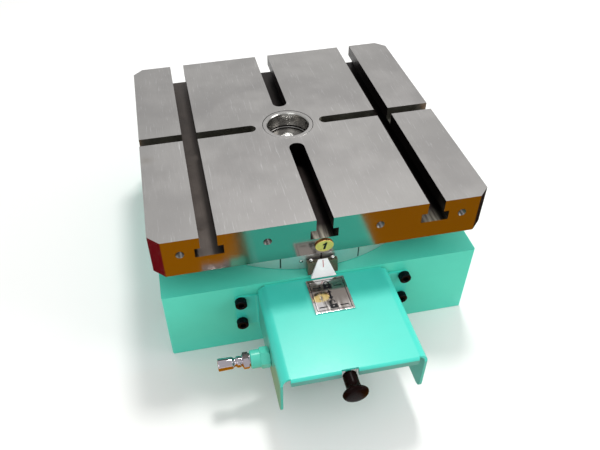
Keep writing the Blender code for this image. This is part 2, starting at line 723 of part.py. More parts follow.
# side bends and walls; each wall's rear end turns out into a flange
for s in (-1, 1):
    side = edges_where(lambda c: abs(c.x - s * CORNER_X) < 1e-4
                       and abs(c.z - COVER_TOP) < 1e-4
                       and c.y > Y_TOPF - 1e-4)
    e1 = bend(bm, side, (s * CORNER_X, 0, COVER_TOP - COVER_BEND), 'Y',
              s * math.pi / 2, 5)
    # the wall stops at the flange bend, except the strip by the top
    low = [e for e in e1 if min(v.co.y for v in e.verts) < Y_FACE - FL_R - 1]
    e2 = run(bm, low, (0, 0, FLANGE_TOP - (COVER_TOP - COVER_BEND)))
    run(bm, e2, (0, 0, COVER_BOT - FLANGE_TOP))
    rear = edges_where(lambda c: abs(c.x - s * COVER_X) < 1e-3
                       and abs(c.y - (Y_FACE - FL_R)) < 1e-3
                       and c.z < FLANGE_TOP + 1e-3)
    e3 = bend(bm, rear, (s * (COVER_X + FL_R), Y_FACE - FL_R, 0), 'Z',
              s * -math.pi / 2, 4)
    run(bm, e3, (s * (FLANGE_X - COVER_X - FL_R), 0, 0))
bmesh.ops.remove_doubles(bm, verts=bm.verts, dist=1e-4)
cover = put("front_cover", bm, MC)
m = cover.modifiers.new("sheet", 'SOLIDIFY')
m.thickness = SHEET * MM
m.offset = -1.0
m.use_even_offset = True
for i, (x, z) in enumerate([(-SCREW_X, SCREW_Z[1]), (-SCREW_X, SCREW_Z[0]),
                            (SCREW_X, SCREW_Z[1]), (SCREW_X, SCREW_Z[0])]):
    bool_with(cover, cyl("cover_hole_%d" % (i + 1), 4.5, -10, 10, 16,
                         loc=(x, Y_REAR, z), axis='-Y'))
    bool_with(base, cyl("base_tap_%d" % (i + 1), 4.2, -20.5, 5, 12,
                        loc=(x, -BASE_Y, z), axis='-Y'))
    cap_screw("cover_screw_%d" % (i + 1), 6.5, 8.0, 3.9, 19.0, 6.0,
              (x, Y_FACE - GAP, z), '-Y',
              bpy.data.materials.get("black_oxide")
              or material("black_oxide", BLACK, 0.35, 0.6), segs=20,
              sink=4.0)
bool_with(cover, cyl("plug_hole", 8.3, -15, 15, 24,
                     loc=(-COVER_X, PLUG_Y, PLUG_Z), axis='-X'))

# ---------------------------------------------------- plate, pointer, bracket
box("label_plate", (-21.3, -234.6, COVER_TOP + GAP),
    (21.3, -187.2, COVER_TOP + GAP + 1.0),
    material("label_plate", (0.80, 0.78, 0.76), 0.06, 1.0), corner=0.8,
    segs=2)
# the bracket stands on the base; its front leans back like the pointer
bm = box_bm((-17.0, -181.2, BASE_H + GAP), (17.0, -172.4, 111.5))
for v in bm.verts:
    if v.co.z > 100 and v.co.y < -180:
        v.co.y = -177.8
put("pointer_bracket", bm, material("pointer_bracket", (0.10, 0.10, 0.07),
                                    0.4, 0.5))
for i, x in enumerate((-12.0, 12.0)):
    bool_with(bpy.data.objects["pointer_bracket"],
              cyl("bracket_hole_%d" % (i + 1), 1.3, -5, 1, 12,
                  loc=(x, -174.7, 111.5)))
    cap_screw("pointer_screw_%d" % (i + 1), 2.1, 2.2, 1.0, 4.0, 1.5,
              (x, -174.7, 111.5 + GAP), 'Z',
              bpy.data.materials.get("bright_screw")
              or material("bright_screw", (0.8, 0.8, 0.78), 0.12, 1.0),
              segs=12, sink=1.0, edge=0.4)
# pointer: a plate that narrows towards the top and leans back
bm = box_bm((-14.2, -185.5, 94.7), (14.2, -181.9, 115.3))
for v in bm.verts:
    if v.co.z > 100:
        v.co.x *= 5.3 / 14.2
        v.co.y = -178.3 if v.co.y < -183 else -177.3
put("index_pointer", bm, material("index_pointer", (0.9, 0.9, 0.9), 0.12,
                                  0.9))

# ----------------------------------------------------------------- air inlet
MT = bpy.data.materials["cover_paint"]
bulk = turned("bulkhead_fitting",
              [(3.5, 21.0), (8.5, 21.0), (9.8, 20.0), (9.8, 10.5),
               (10.0, 10.5), (10.0, 0.3), (8.0, 0.3), (8.0, -14.0),
               (3.5, -14.0)], 24, loc=(-COVER_X, PLUG_Y, PLUG_Z), axis='-X',
              mat=material("fitting_paint", MINT, 0.4, 0.1))
hexa = cyl("bulk_hex", 11.6, 0.3, 10.5, 6,
           loc=(-COVER_X, PLUG_Y, PLUG_Z), axis='-X')
bool_with(hexa, cyl("bulk_hex_bore", 9.0, -5, 20, 24,
                    loc=(-COVER_X, PLUG_Y, PLUG_Z), axis='-X'))
bool_with(bulk, hexa, 'UNION')
nut = cyl("bulkhead_locknut", 11.6, -9.0, -3.2, 6, cutter=False,
          loc=(-COVER_X, PLUG_Y, PLUG_Z), axis='-X',
          mat=material("zinc", (0.6, 0.58, 0.5), 0.3, 1.0))
bool_with(nut, cyl("locknut_bore", 8.3, -20, 10, 24,
                   loc=(-COVER_X, PLUG_Y, PLUG_Z), axis='-X'))
plug = turned("air_plug",
              [(2.6, 55.0), (6.2, 55.0), (6.8, 54.0), (6.4, 39.6),
               (4.5, 38.0), (4.5, 36.4), (6.1, 34.9), (6.1, 31.8),
               (5.4, 30.6), (5.4, 29.8), (7.0, 29.4), (7.0, 21.3),
               (2.6, 21.3)], 24, loc=(-COVER_X, PLUG_Y, PLUG_Z), axis='-X',
              mat=material("plug_chrome", (0.78, 0.77, 0.75), 0.1, 1.0))
hx = cyl("plug_hex", 9.4, 22.3, 28.9, 6,
         loc=(-COVER_X, PLUG_Y, PLUG_Z), axis='-X')
bool_with(hx, cyl("plug_hex_bore", 6.0, 10, 40, 16,
                  loc=(-COVER_X, PLUG_Y, PLUG_Z), axis='-X'))
bool_with(plug, hx, 'UNION')

# ---------------------------------------------------------------- hand valve
VX0, VX1 = KNOB_X - 14.0, KNOB_X + 14.0
VY0, VY1 = -290.0, -222.0
VZ0, VZ1 = 57.2, 89.4
valve = box("valve_body", (VX0, VY0, VZ0), (VX1, VY1, VZ1),
            material("valve_body", (0.55, 0.56, 0.58), 0.4, 1.0))
bool_with(valve, cyl("valve_bore", 4.5, -5, 65.5, 20,
                     loc=(KNOB_X, VY0, KNOB_Z), axis='Y'))
turned("valve_spool",
       [(0, 0.0), (3.0, 0.0), (3.0, -24.0), (4.2, -24.0), (4.2, -36.0),
        (3.0, -36.0), (3.0, -50.0), (4.2, -50.0), (4.2, -60.0),
        (3.0, -60.0), (3.0, -66.0), (0, -66.0)], 20,
       loc=(KNOB_X, KNOB_REAR_Y + GAP, KNOB_Z), axis='-Y',
       mat=material("valve_spool", (0.6, 0.6, 0.6), 0.15, 1.0),
       parent=AX_KNOB, closed=False)
turned("push_knob",
       [(0, 26.0), (4.0, 25.8), (8.0, 25.0), (11.2, 23.6), (KNOB_R, 22.4),
        (KNOB_R, 21.4), (11.8, 20.4), (9.2, 18.6), (7.8, 16.0),
        (STEM_R, 13.0), (STEM_R, 0.0), (0, 0.0)], 28,
       loc=(KNOB_X, KNOB_REAR_Y, KNOB_Z), axis='-Y',
       mat=material("knob_plastic", (0.012, 0.010, 0.011), 0.3, 0.0),
       parent=AX_KNOB, closed=False)

# bracket: a folded strip from the base's front face to under the valve
M = material("bracket_zinc", (0.5, 0.5, 0.48), 0.35, 1.0)
BT = 3.0
pts = [(-Y_REAR, 20.0), (-Y_REAR, VZ0 - GAP)] + [(-VY0 - 2, VZ0 - GAP),
                                                 (-VY0 - 2, VZ0 - GAP - BT),
                                                 (-Y_REAR + BT,
                                                  VZ0 - GAP - BT),
                                                 (-Y_REAR + BT, 20.0)]
# outline in (front distance, height), then stood up across X
bra = outline("valve_bracket", [(-a, b) for a, b in pts], VX0, VX1, M)
bra.rotation_euler = (math.pi / 2, 0, math.pi / 2)
bra.location = (0, 0, 0)
for i, x in enumerate((KNOB_X - 8.0, KNOB_X + 8.0)):
    bool_with(bra, cyl("bracket_bore_%d" % i, 2.8, -6, 6, 14,
                       loc=(x, Y_REAR, 34.0), axis='-Y'))
    bool_with(base, cyl("bracket_tap_%d" % i, 2.5, -14, 4, 10,
                        loc=(x, -BASE_Y, 34.0), axis='-Y'))
    cap_screw("bracket_screw_%d" % (i + 1), 4.25, 5.0, 2.2, 14.0, 4.0,
              (x, Y_REAR - BT - GAP, 34.0), '-Y',
              bpy.data.materials["black_oxide"], segs=12, sink=2.5,
              edge=0.5)

# ------------------------------------------------------ fittings and tubes
MF = material("fitting_plastic", (0.06, 0.07, 0.08), 0.4, 0.0)
TUBE = material("air_tube", (0.02, 0.07, 0.25), 0.35, 0.0)


def fitting(name, loc, axis, length=9.0):
    """Push-in fitting: it stands on a face and the tube butts on its end."""
    return turned(name,
                  [(1.6, length), (5.0, length), (5.4, length - 1.0),
                   (5.4, 2.0), (4.6, 2.0), (4.6, 0.3), (1.6, 0.3)], 12,
                  loc=loc, axis=axis, mat=MF)


VALVE_IN = (VX0, -254.0, 64.5)
VALVE_A = (VX1, -236.0, 72.0)
VALVE_B = (VX1, -272.0, 66.0)
fitting("valve_inlet_fitting", VALVE_IN, '-X')
fitting("valve_index_fitting", VALVE_A, 'X')
fitting("valve_clamp_fitting", VALVE_B, 'X')
fitting("bulkhead_inner_fitting", (-COVER_X + 14.0, PLUG_Y, PLUG_Z), 'X')
CAP_Y = -191.0 - GAP - 4.0
fitting("cylinder_fitting", (0, CAP_Y, PIN_Z), '-Y')

wire("supply_tube", smooth_path(
    [(-COVER_X + 23.4, PLUG_Y, PLUG_Z), (-COVER_X + 26.0, PLUG_Y, PLUG_Z),
     (-COVER_X + 29.0, PLUG_Y - 0.2, 57.6),
     (-37.5, -252.2, 61.2), (-33.5, -253.8, 64.2),
     (VX0 - 12.0, -254.0, 64.5), (VX0 - 9.4, -254.0, 64.5)], 3.5), 3.0, TUBE)
wire("index_tube", smooth_path(
    [(0, CAP_Y - 9.4, PIN_Z), (0, CAP_Y - 11.5, PIN_Z),
     (0.6, CAP_Y - 13.5, PIN_Z),
     (9.0, -216.5, 72.8), (22.0, -215.0, 72.3), (33.0, -218.5, 72.0),
     (36.5, -227.5, 72.0), (29.0, -235.0, 72.0), (VX1 + 15.0, -236.0, 72.0),
     (VX1 + 12.0, -236.0, 72.0), (VX1 + 9.4, -236.0, 72.0)], 5.0), 3.0, TUBE)
wire("clamp_tube", smooth_path(
    [(VX1 + 9.4, -272.0, 66.0), (VX1 + 12.0, -272.0, 66.0),
     (VX1 + 17.0, -271.8, 65.6),
     (39.0, -266.0, 62.0), (49.0, -248.0, 54.0), (53.0, -225.0, 45.0),
     (54.0, -200.0, 38.5), (54.0, -180.0, 36.5), (54.0, -150.0, 36.0),
     (54.0, -133.5, 36.0), (54.0, -120.5, 36.0)], 8.0), 3.0, TUBE)
bool_with(base, cyl("tube_hole", 4.0, -40, 5, 16,
                    loc=(54.0, -BASE_Y, 36.5), axis='-Y'))

bpy.context.view_layer.update()
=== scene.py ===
"""Looks for the square T-slotted rotary table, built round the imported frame.

Lengths in the building code are millimetres unless a name says otherwise;
every piece is made in place, so its own coordinates are the frame's.
"""
import bpy
import bmesh
import math
from mathutils import Vector, Matrix


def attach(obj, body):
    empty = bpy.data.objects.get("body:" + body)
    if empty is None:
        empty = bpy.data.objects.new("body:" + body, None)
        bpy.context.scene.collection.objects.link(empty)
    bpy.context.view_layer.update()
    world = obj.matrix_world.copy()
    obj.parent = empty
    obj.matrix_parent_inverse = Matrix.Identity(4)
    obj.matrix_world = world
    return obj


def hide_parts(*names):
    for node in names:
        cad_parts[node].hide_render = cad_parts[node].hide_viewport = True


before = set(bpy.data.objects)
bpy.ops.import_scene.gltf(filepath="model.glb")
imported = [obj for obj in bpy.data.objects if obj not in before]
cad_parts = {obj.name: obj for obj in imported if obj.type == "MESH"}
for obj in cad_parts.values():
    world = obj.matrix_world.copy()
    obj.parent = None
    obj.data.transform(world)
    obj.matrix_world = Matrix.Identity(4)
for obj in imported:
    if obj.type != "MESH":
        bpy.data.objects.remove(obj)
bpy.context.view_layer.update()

MM = 0.001
COL = bpy.context.scene.collection

# sizes shared with the frame --------------------------------------------
TOP, SIDE, THICK, CORNER = 174.0, 360.0, 47.0, 12.2
BOT = TOP - THICK
PITCH, NECK_W, NECK_D, WIDE_W, WIDE_H = 120.0, 18.0, 14.0, 30.0, 11.5
FLOOR = TOP - NECK_D - WIDE_H
SLOT_END, KEY_W, KEY_D, KEY_END = 41.5, 14.0, 14.0, 39.5
BORE_R, BUSH_R, BUSH_BORE_R, BUSH_H = 31.0, 30.7, 25.0, 18.0
HOLE_X = (-150.0, -60.0, 60.0, 150.0)
RING_R, RING_IN, MARKS = 171.0, 150.0, 24
BASE_X, BASE_Y, BASE_H = 177.5, 181.5, 96.0
COVER_X, COVER_TOP, COVER_BOT, COVER_Y = 74.0, 93.0, 36.0, -309.3
SHEET, BEND, LIP_BOT = 2.7, 10.0, 83.7
FLANGE_X, FLANGE_TOP = 99.5, 82.0
SCREW_X, SCREW_Z = 93.5, (43.3, 77.0)
KNOB = (-5.5, -306.0, 82.7)
PLUG = (-74.0, -250.0, 57.0)


# ==================================================================== nodes
class Net:
    """Small helper for building one material's nodes."""

    def __init__(self, name, color=(0.5, 0.5, 0.5), rough=0.5, metal=0.0,
                 **fixed):
        self.m = bpy.data.materials.new(name)
        self.m.use_nodes = True
        self.t = self.m.node_tree
        self.b = self.t.nodes["Principled BSDF"]
        self.set(self.b, "Base Color", (*color, 1.0))
        self.set(self.b, "Roughness", rough)
        self.set(self.b, "Metallic", metal)
        for k, v in fixed.items():
            self.b.inputs[k.replace("_", " ")].default_value = v
        self.co = self.t.nodes.new("ShaderNodeTexCoord").outputs["Object"]
        self.m.diffuse_color = (*color, 1.0)

    def set(self, node, socket, value):
        s = node.inputs[socket]
        if isinstance(value, bpy.types.NodeSocket):
            self.t.links.new(value, s)
        else:
            s.default_value = value

    def mapped(self, scale=(1, 1, 1), turn=(0, 0, 0)):
        n = self.t.nodes.new("ShaderNodeMapping")
        self.t.links.new(self.co, n.inputs["Vector"])
        n.inputs["Scale"].default_value = scale
        n.inputs["Rotation"].default_value = [math.radians(a) for a in turn]
        return n.outputs["Vector"]

    def noise(self, scale, detail=4.0, rough=0.5, vec=None, warp=0.0):
        n = self.t.nodes.new("ShaderNodeTexNoise")
        self.t.links.new(vec or self.co, n.inputs["Vector"])
        n.inputs["Scale"].default_value = scale
        n.inputs["Detail"].default_value = detail
        n.inputs["Roughness"].default_value = rough
        n.inputs["Distortion"].default_value = warp
        return n.outputs["Fac"]

    def cells(self, scale, vec=None, feature='F1'):
        n = self.t.nodes.new("ShaderNodeTexVoronoi")
        n.feature = feature
        self.t.links.new(vec or self.co, n.inputs["Vector"])
        n.inputs["Scale"].default_value = scale
        return n.outputs["Distance"]

    def ramp(self, fac, *stops):
        """stops are (place, value) or (place, (r, g, b))."""
        n = self.t.nodes.new("ShaderNodeValToRGB")
        self.t.links.new(fac, n.inputs["Fac"])
        els = n.color_ramp.elements
        while len(els) < len(stops):
            els.new(0.5)
        for e, (p, v) in zip(els, stops):
            e.position = p
            e.color = (v, v, v, 1) if not isinstance(v, tuple) else (*v, 1)
        return n.outputs["Color"]

    def span(self, fac, a0, a1, b0, b1):
        n = self.t.nodes.new("ShaderNodeMapRange")
        self.t.links.new(fac, n.inputs["Value"])
        for k, v in zip(("From Min", "From Max", "To Min", "To Max"),
                        (a0, a1, b0, b1)):
            n.inputs[k].default_value = v
        return n.outputs["Result"]

    def math(self, op, a, b=None):
        n = self.t.nodes.new("ShaderNodeMath")
        n.operation = op
        for i, v in enumerate((a, b)):
            if v is None:
                continue
            if isinstance(v, bpy.types.NodeSocket):
                self.t.links.new(v, n.inputs[i])
            else:
                n.inputs[i].default_value = v
        return n.outputs[0]

    def mix(self, fac, a, b, mode='MIX'):
        n = self.t.nodes.new("ShaderNodeMix")
        n.data_type = 'RGBA'
        n.blend_type = mode
        for s, v in ((n.inputs[0], fac), (n.inputs[6], a), (n.inputs[7], b)):
            if isinstance(v, bpy.types.NodeSocket):
                self.t.links.new(v, s)
            elif isinstance(v, tuple):
                s.default_value = (*v, 1.0)
            else:
                s.default_value = v
        return n.outputs[2]

    def bump(self, height, strength, dist_mm=0.1, under=None):
        n = self.t.nodes.new("ShaderNodeBump")
        self.t.links.new(height, n.inputs["Height"])
        n.inputs["Strength"].default_value = strength
        n.inputs["Distance"].default_value = dist_mm * MM
        if under is not None:
            self.t.links.new(under, n.inputs["Normal"])
        return n.outputs["Normal"]

    def color(self, v):
        self.set(self.b, "Base Color", v)

    def rough(self, v):
        self.set(self.b, "Roughness", v)

    def normal(self, v):
        self.set(self.b, "Normal", v)

    def axes(self):
        n = self.t.nodes.new("ShaderNodeSeparateXYZ")
        self.t.links.new(self.co, n.inputs[0])
        return n.outputs

    def spot(self, x, y, radius, soft=0.5):
        """1 inside a round patch at (x, y) mm of the object, fading out."""
        n = self.t.nodes.new("ShaderNodeVectorMath")
        n.operation = 'MULTIPLY'
        self.t.links.new(self.co, n.inputs[0])
        n.inputs[1].default_value = (1, 1, 0)
        d = self.t.nodes.new("ShaderNodeVectorMath")
        d.operation = 'DISTANCE'
        self.t.links.new(n.outputs[0], d.inputs[0])
        d.inputs[1].default_value = (x * MM, y * MM, 0)
        return self.span(d.outputs["Value"], radius * MM * (1 - soft),
                         radius * MM, 1.0, 0.0)


def metal(name, color, rough, grain=(1400, 60, 1400), turn=(0, 0, 0),
          spread=0.08, vary=0.10, bump=0.12, wash=25.0, aniso=0.0,
          stain=None, pits=0.0, slope=0.0):
    """Machined metal: directional grain, cloudy roughness, fine scratches."""
    n = Net(name, color, rough, 1.0)
    if aniso:
        n.b.inputs["Anisotropic"].default_value = aniso
    fine = n.noise(1.0, 5.0, 0.6, n.mapped(grain, turn))
    cloud = n.noise(wash, 6.0, 0.6, warp=0.4)
    dark = tuple(c * (1 - vary) for c in color)
    light = tuple(min(1.0, c * (1 + vary)) for c in color)
    col = n.ramp(cloud, (0.30, dark), (0.72, light))
    col = n.mix(n.span(fine, 0.35, 0.75, 0.0, 0.55), col,
                tuple(c * (1 - 1.6 * vary) for c in color))
    if stain:
        s = n.ramp(n.noise(wash * 2.3, 8.0, 0.7), (0.58, 0.0), (0.72, 1.0))
        col = n.mix(n.math('MULTIPLY', s, 0.5), col, stain)
    n.color(col)
    r = n.math('ADD', n.span(cloud, 0.3, 0.7, rough - spread, rough + spread),
               n.span(fine, 0.3, 0.8, -0.05, 0.07))
    n.rough(r)
    h = fine
    nm = n.bump(h, bump, 0.03)
    if slope:
        nm = n.bump(n.axes()[1], 1.0, slope, nm)
    if pits:
        p = n.ramp(n.cells(900), (0.0, 0.0), (0.10, 1.0))
        nm = n.bump(p, pits, 0.05, nm)
    n.normal(nm)
    return n.m


def paint(name, color, rough=0.36, peel=0.10, worn=None):
    """Sprayed enamel: orange peel, slight cloudiness, scattered dark specks of
    dust.
    """
    n = Net(name, color, rough, 0.0, Coat_Weight=0.15, Coat_Roughness=0.2,
            Specular_IOR_Level=0.38)
    peel_n = n.noise(520.0, 3.0, 0.5)
    broad = n.noise(9.0, 5.0, 0.55, warp=0.3)
    specks = n.ramp(n.cells(230.0), (0.0, 1.0), (0.035, 0.0))
    dark = tuple(c * 0.93 for c in color)
    light = tuple(min(1, c * 1.05 + 0.006) for c in color)
    col = n.ramp(broad, (0.32, dark), (0.70, light))
    col = n.mix(n.math('MULTIPLY', specks, 0.35), col,
                tuple(c * 0.45 for c in color))
    n.color(col)
    n.rough(n.math('ADD', n.span(broad, 0.3, 0.7, rough - 0.05, rough + 0.06),
                   n.span(peel_n, 0.2, 0.8, -0.03, 0.04)))
    n.normal(n.bump(specks, 0.15, 0.06,
                    n.bump(peel_n, peel, 0.05,
                           n.bump(n.noise(60.0, 2.0), 0.05, 0.12))))
    return n.m


def plastic(name, color, rough=0.4, grain=900.0, bump=0.08, **fixed):
    n = Net(name, color, rough, 0.0, **fixed)
    g = n.noise(grain, 4.0, 0.6)
    c = n.noise(40.0, 4.0, 0.6)
    n.color(n.ramp(c, (0.3, tuple(k * 0.8 for k in color)),
                   (0.7, tuple(min(1, k * 1.25) for k in color))))
    n.rough(n.math('ADD', n.span(c, 0.3, 0.7, rough - 0.07, rough + 0.07),
                   n.span(g, 0.3, 0.7, -0.03, 0.03)))
    n.normal(n.bump(g, bump, 0.04))
    return n.m


# ------------------------------------------------------------ table surfaces
def ground_top():
    """Ground and hand-finished top: soft, warm grey, with diagonal marks."""
    n = Net("ground_top", (0.40, 0.385, 0.372), 0.45, 0.55)
    wide = n.noise(7.0, 5.0, 0.55, warp=0.6)
    cloud = n.noise(28.0, 6.0, 0.62, warp=0.3)
    s1 = n.noise(1.0, 6.0, 0.65, n.mapped((1500, 42, 10), (0, 0, 38)))
    s2 = n.noise(1.0, 5.0, 0.65, n.mapped((1100, 30, 10), (0, 0, -24)))
    s3 = n.noise(1.0, 4.0, 0.7, n.mapped((420, 9, 10), (0, 0, 52)))
    mask = n.ramp(n.noise(14.0, 4.0, 0.6), (0.42, 0.0), (0.62, 1.0))
    fine = n.math('ADD', n.math('MULTIPLY', s1, 0.55),
                  n.math('MULTIPLY', n.math('MULTIPLY', s2, mask), 0.45))
    strokes = n.ramp(s3, (0.66, 0.0), (0.74, 1.0))
    col = n.ramp(wide, (0.30, (0.262, 0.252, 0.247)),
                 (0.52, (0.277, 0.268, 0.261)), (0.75, (0.291, 0.284, 0.274)))
    col = n.mix(n.span(cloud, 0.35, 0.7, 0.0, 0.25), col,
                (0.318, 0.311, 0.303))
    col = n.mix(n.span(fine, 0.30, 0.62, 0.34, 0.0), col,
                (0.180, 0.174, 0.168))
    swirl = n.ramp(n.noise(1.0, 3.0, 0.7, n.mapped((620, 34, 10),
                                                   (0, 0, -58)), warp=0.5),
                   (0.60, 0.0), (0.68, 1.0))
    col = n.mix(n.math('MULTIPLY', n.math('MULTIPLY', strokes, mask), 0.55),
                col, (0.56, 0.56, 0.555))
    col = n.mix(n.math('MULTIPLY', swirl, 0.26), col, (0.50, 0.50, 0.50))
    nicks = n.ramp(n.cells(58.0), (0.010, 1.0), (0.020, 0.0))
    col = n.mix(n.math('MULTIPLY', nicks, 0.6), col, (0.12, 0.105, 0.10))
    smudge = n.math('MULTIPLY', n.spot(-172.0, -36.0, 11.0, 0.8),
                    n.span(n.noise(90.0, 4.0), 0.35, 0.65, 0.2, 1.0))
    col = n.mix(n.math('MULTIPLY', smudge, 0.62), col, (0.20, 0.185, 0.165))
    spots = n.ramp(n.cells(34.0), (0.012, 1.0), (0.028, 0.0))
    col = n.mix(n.math('MULTIPLY', spots, 0.5), col, (0.16, 0.14, 0.12))
    n.color(col)
    r = n.math('ADD', n.span(wide, 0.3, 0.7, 0.45, 0.53),
               n.span(fine, 0.25, 0.65, -0.06, 0.08))
    n.rough(r)
    n.normal(n.bump(strokes, 0.05, 0.02, n.bump(fine, 0.16, 0.03)))
    return n.m


M_TOP = ground_top()
M_SIDE = metal("ground_side", (0.40, 0.365, 0.33), 0.13, (60, 60, 2200),
               spread=0.035, vary=0.06, bump=0.05, wash=14.0)
M_EDGE = metal("edge_bright", (0.66, 0.64, 0.62), 0.26, (300, 300, 300),
               spread=0.05, bump=0.06)
M_SLOT = metal("slot_milled", (0.085, 0.072, 0.065), 0.42, (1600, 26, 900),
               spread=0.08, vary=0.20, bump=0.22, wash=30.0,
               stain=(0.04, 0.03, 0.025), pits=0.05)
M_KEY = metal("keyway_milled", (0.235, 0.23, 0.205), 0.34, (26, 1600, 900),
              spread=0.08, vary=0.20, bump=0.2, wash=30.0,
              stain=(0.10, 0.095, 0.06), pits=0.05)
M_THREAD = metal("thread_steel", (0.12, 0.115, 0.11), 0.3, (400, 400, 400))
M_BUSH = metal("bush_polished", (0.46, 0.45, 0.43), 0.24, (40, 40, 1800),
               spread=0.03, vary=0.05, bump=0.03)
M_SPINDLE = metal("spindle_faced", (0.22, 0.21, 0.20), 0.30,
                  (500, 500, 500), spread=0.05, bump=0.06)
M_CHROME = metal("bright_chrome", (0.82, 0.81, 0.79), 0.09,
                 (300, 300, 300), spread=0.03, vary=0.03, bump=0.02)
M_RING = metal("ring_polished", (0.80, 0.74, 0.745), 0.42, (30, 30, 1500),
               spread=0.03, vary=0.05, bump=0.03)
M_MARK = plastic("mark_black", (0.008, 0.008, 0.008), 0.55)
M_MINT = paint("mint_enamel", (0.070, 0.59, 0.445))
# paler mint for the base's top bevel: a painted highlight along the top edges
M_MINT_EDGE_HIGHLIGHT = paint("mint_enamel_painted_highlight", (0.20, 0.82, 0.68), 0.30)
M_MINT2 = paint("mint_enamel_cover", (0.046, 0.575, 0.468), 0.36)
# darker greens for the cover's front lip and lower side walls: painted shade,
# the same paint as the cover's top
M_MINT_LIP_SHADE = paint("mint_enamel_lip_painted_shade", (0.085, 0.30, 0.25), 0.42)
M_MINT_WALL_SHADE = paint("mint_enamel_wall_painted_shade", (0.065, 0.42, 0.33), 0.40)
M_MINT3 = paint("mint_enamel_fitting", (0.09, 0.60, 0.46), 0.32)
M_INSIDE = paint("primer_grey_green", (0.10, 0.30, 0.23), 0.6)
M_OXIDE = metal("black_oxide", (0.012, 0.013, 0.016), 0.40, (300, 300, 300),
                spread=0.06, vary=0.3, bump=0.06, wash=120.0)
M_BRACKET = metal("bracket_bronzed", (0.17, 0.165, 0.115), 0.30,
                  (60, 1200, 60), spread=0.06, vary=0.2, bump=0.08,
                  wash=80.0)
M_POINTER = plastic("pointer_polished", (0.94, 0.945, 0.955), 0.20,
                    900.0, 0.02, Coat_Weight=0.8, Coat_Roughness=0.08,
                    Sheen_Weight=0.15)
M_RED = plastic("red_line", (0.42, 0.02, 0.015), 0.4)
M_MIRROR = metal("label_mirror", (0.80, 0.765, 0.755), 0.10,
                 (900, 20, 900), spread=0.02, vary=0.03, bump=0.012,
                 slope=36.0)
M_INK = plastic("label_ink", (0.004, 0.004, 0.006), 0.5, 900.0, 0.05,
                Specular_IOR_Level=0.15)
M_BRASS = metal("disc_brass", (0.98, 0.72, 0.22), 0.52, (240, 240, 1500),
                (0, 45, 0), spread=0.07, vary=0.14, bump=0.10, wash=160.0,
                stain=(0.36, 0.20, 0.05))
# darker brown on the number discs' rims: painted shade of the rim's edge
M_RIM_SHADE = metal("disc_rim_painted_shade", (0.34, 0.17, 0.06), 0.28, (200, 200, 200),
              spread=0.05, vary=0.2, bump=0.05, wash=200.0)
M_KNOB = plastic("knob_phenolic", (0.0045, 0.0008, 0.0006), 0.26, 700.0, 0.03,
                 Specular_IOR_Level=0.05)
M_NICKEL = metal("plug_nickel", (0.52, 0.48, 0.52), 0.10, (30, 900, 900),
                 spread=0.04, vary=0.06, bump=0.03, wash=180.0)
M_ZINC = metal("zinc_plate", (0.55, 0.54, 0.50), 0.34, (90, 90, 90),
               spread=0.08, vary=0.12, bump=0.06, wash=140.0)
M_ALU = metal("anodised_valve", (0.52, 0.53, 0.55), 0.38, (60, 1300, 60),
              spread=0.05, vary=0.06, bump=0.10, wash=70.0)
M_STEEL = metal("machined_steel", (0.50, 0.49, 0.48), 0.26, (50, 50, 1400),
                spread=0.06, vary=0.1, bump=0.08)
M_DARK = metal("dark_steel", (0.20, 0.195, 0.19), 0.38, (70, 70, 900),
               spread=0.08, vary=0.2, bump=0.12)
M_BEAR = metal("bearing_steel", (0.66, 0.66, 0.66), 0.12, (40, 40, 1600),
               spread=0.03, vary=0.04, bump=0.02)
M_BRONZE = metal("bronze", (0.48, 0.27, 0.11), 0.33, (60, 60, 900),
                 spread=0.07, vary=0.15, bump=0.1)
M_CAGE = metal("cage_brass", (0.55, 0.43, 0.18), 0.33, (60, 60, 700))
M_SPRING = metal("spring_wire", (0.28, 0.28, 0.29), 0.3, (300, 300, 300))
M_FIT = plastic("fitting_nylon", (0.03, 0.035, 0.04), 0.42)
M_TUBE = plastic("tube_blue", (0.015, 0.06, 0.22), 0.3, 500.0, 0.04,
                 Coat_Weight=0.2, Coat_Roughness=0.2)
M_RUBBER = plastic("seal_rubber", (0.018, 0.018, 0.018), 0.72, 1500.0, 0.15)


# ============================================================ mesh building
def take(name, bm, mat, mm=True):
    """A finished bmesh becomes an object."""
    if mm:
        bmesh.ops.scale(bm, vec=(MM, MM, MM), verts=bm.verts)
    bmesh.ops.recalc_face_normals(bm, faces=bm.faces)
    me = bpy.data.meshes.new(name)
    bm.to_mesh(me)
    bm.free()
    o = bpy.data.objects.new(name, me)
    COL.objects.link(o)
    if mat:
        me.materials.append(mat)
    return o


def settle(o):
    """Apply modifiers and transform, so the mesh stands in the frame."""
    bpy.context.view_layer.update()
    dg = bpy.context.evaluated_depsgraph_get()
    me = bpy.data.meshes.new_from_object(o.evaluated_get(dg), depsgraph=dg)
    me.transform(o.matrix_world)
    old = o.data
    name = o.name
    if o.type != 'MESH':
        bpy.data.objects.remove(o)
        o = bpy.data.objects.new(name, me)
        COL.objects.link(o)
        o.name = name
    else:
        o.modifiers.clear()
        o.data = me
        o.matrix_world = Matrix.Identity(4)
        if old.users == 0:
            bpy.data.meshes.remove(old)
    me.name = name
    return o


def carve(o, cutters, op='DIFFERENCE'):
    """Boolean o with each cutter, then drop the cutters."""
    for c in cutters:
        m = o.modifiers.new("cut", 'BOOLEAN')
        m.operation = op
        m.solver = 'EXACT'
        m.material_mode = 'TRANSFER'
        m.object = c
    o = settle(o)
    for c in cutters:
        bpy.data.objects.remove(c, do_unlink=True)
    return o


def round_edges(o, width, segs=3, angle=40.0):
    m = o.modifiers.new("round", 'BEVEL')
    m.limit_method = 'ANGLE'
    m.angle_limit = math.radians(angle)
    m.width = width * MM
    m.segments = segs
    m.use_clamp_overlap = True
    m.miter_outer = 'MITER_ARC'
    return settle(o)


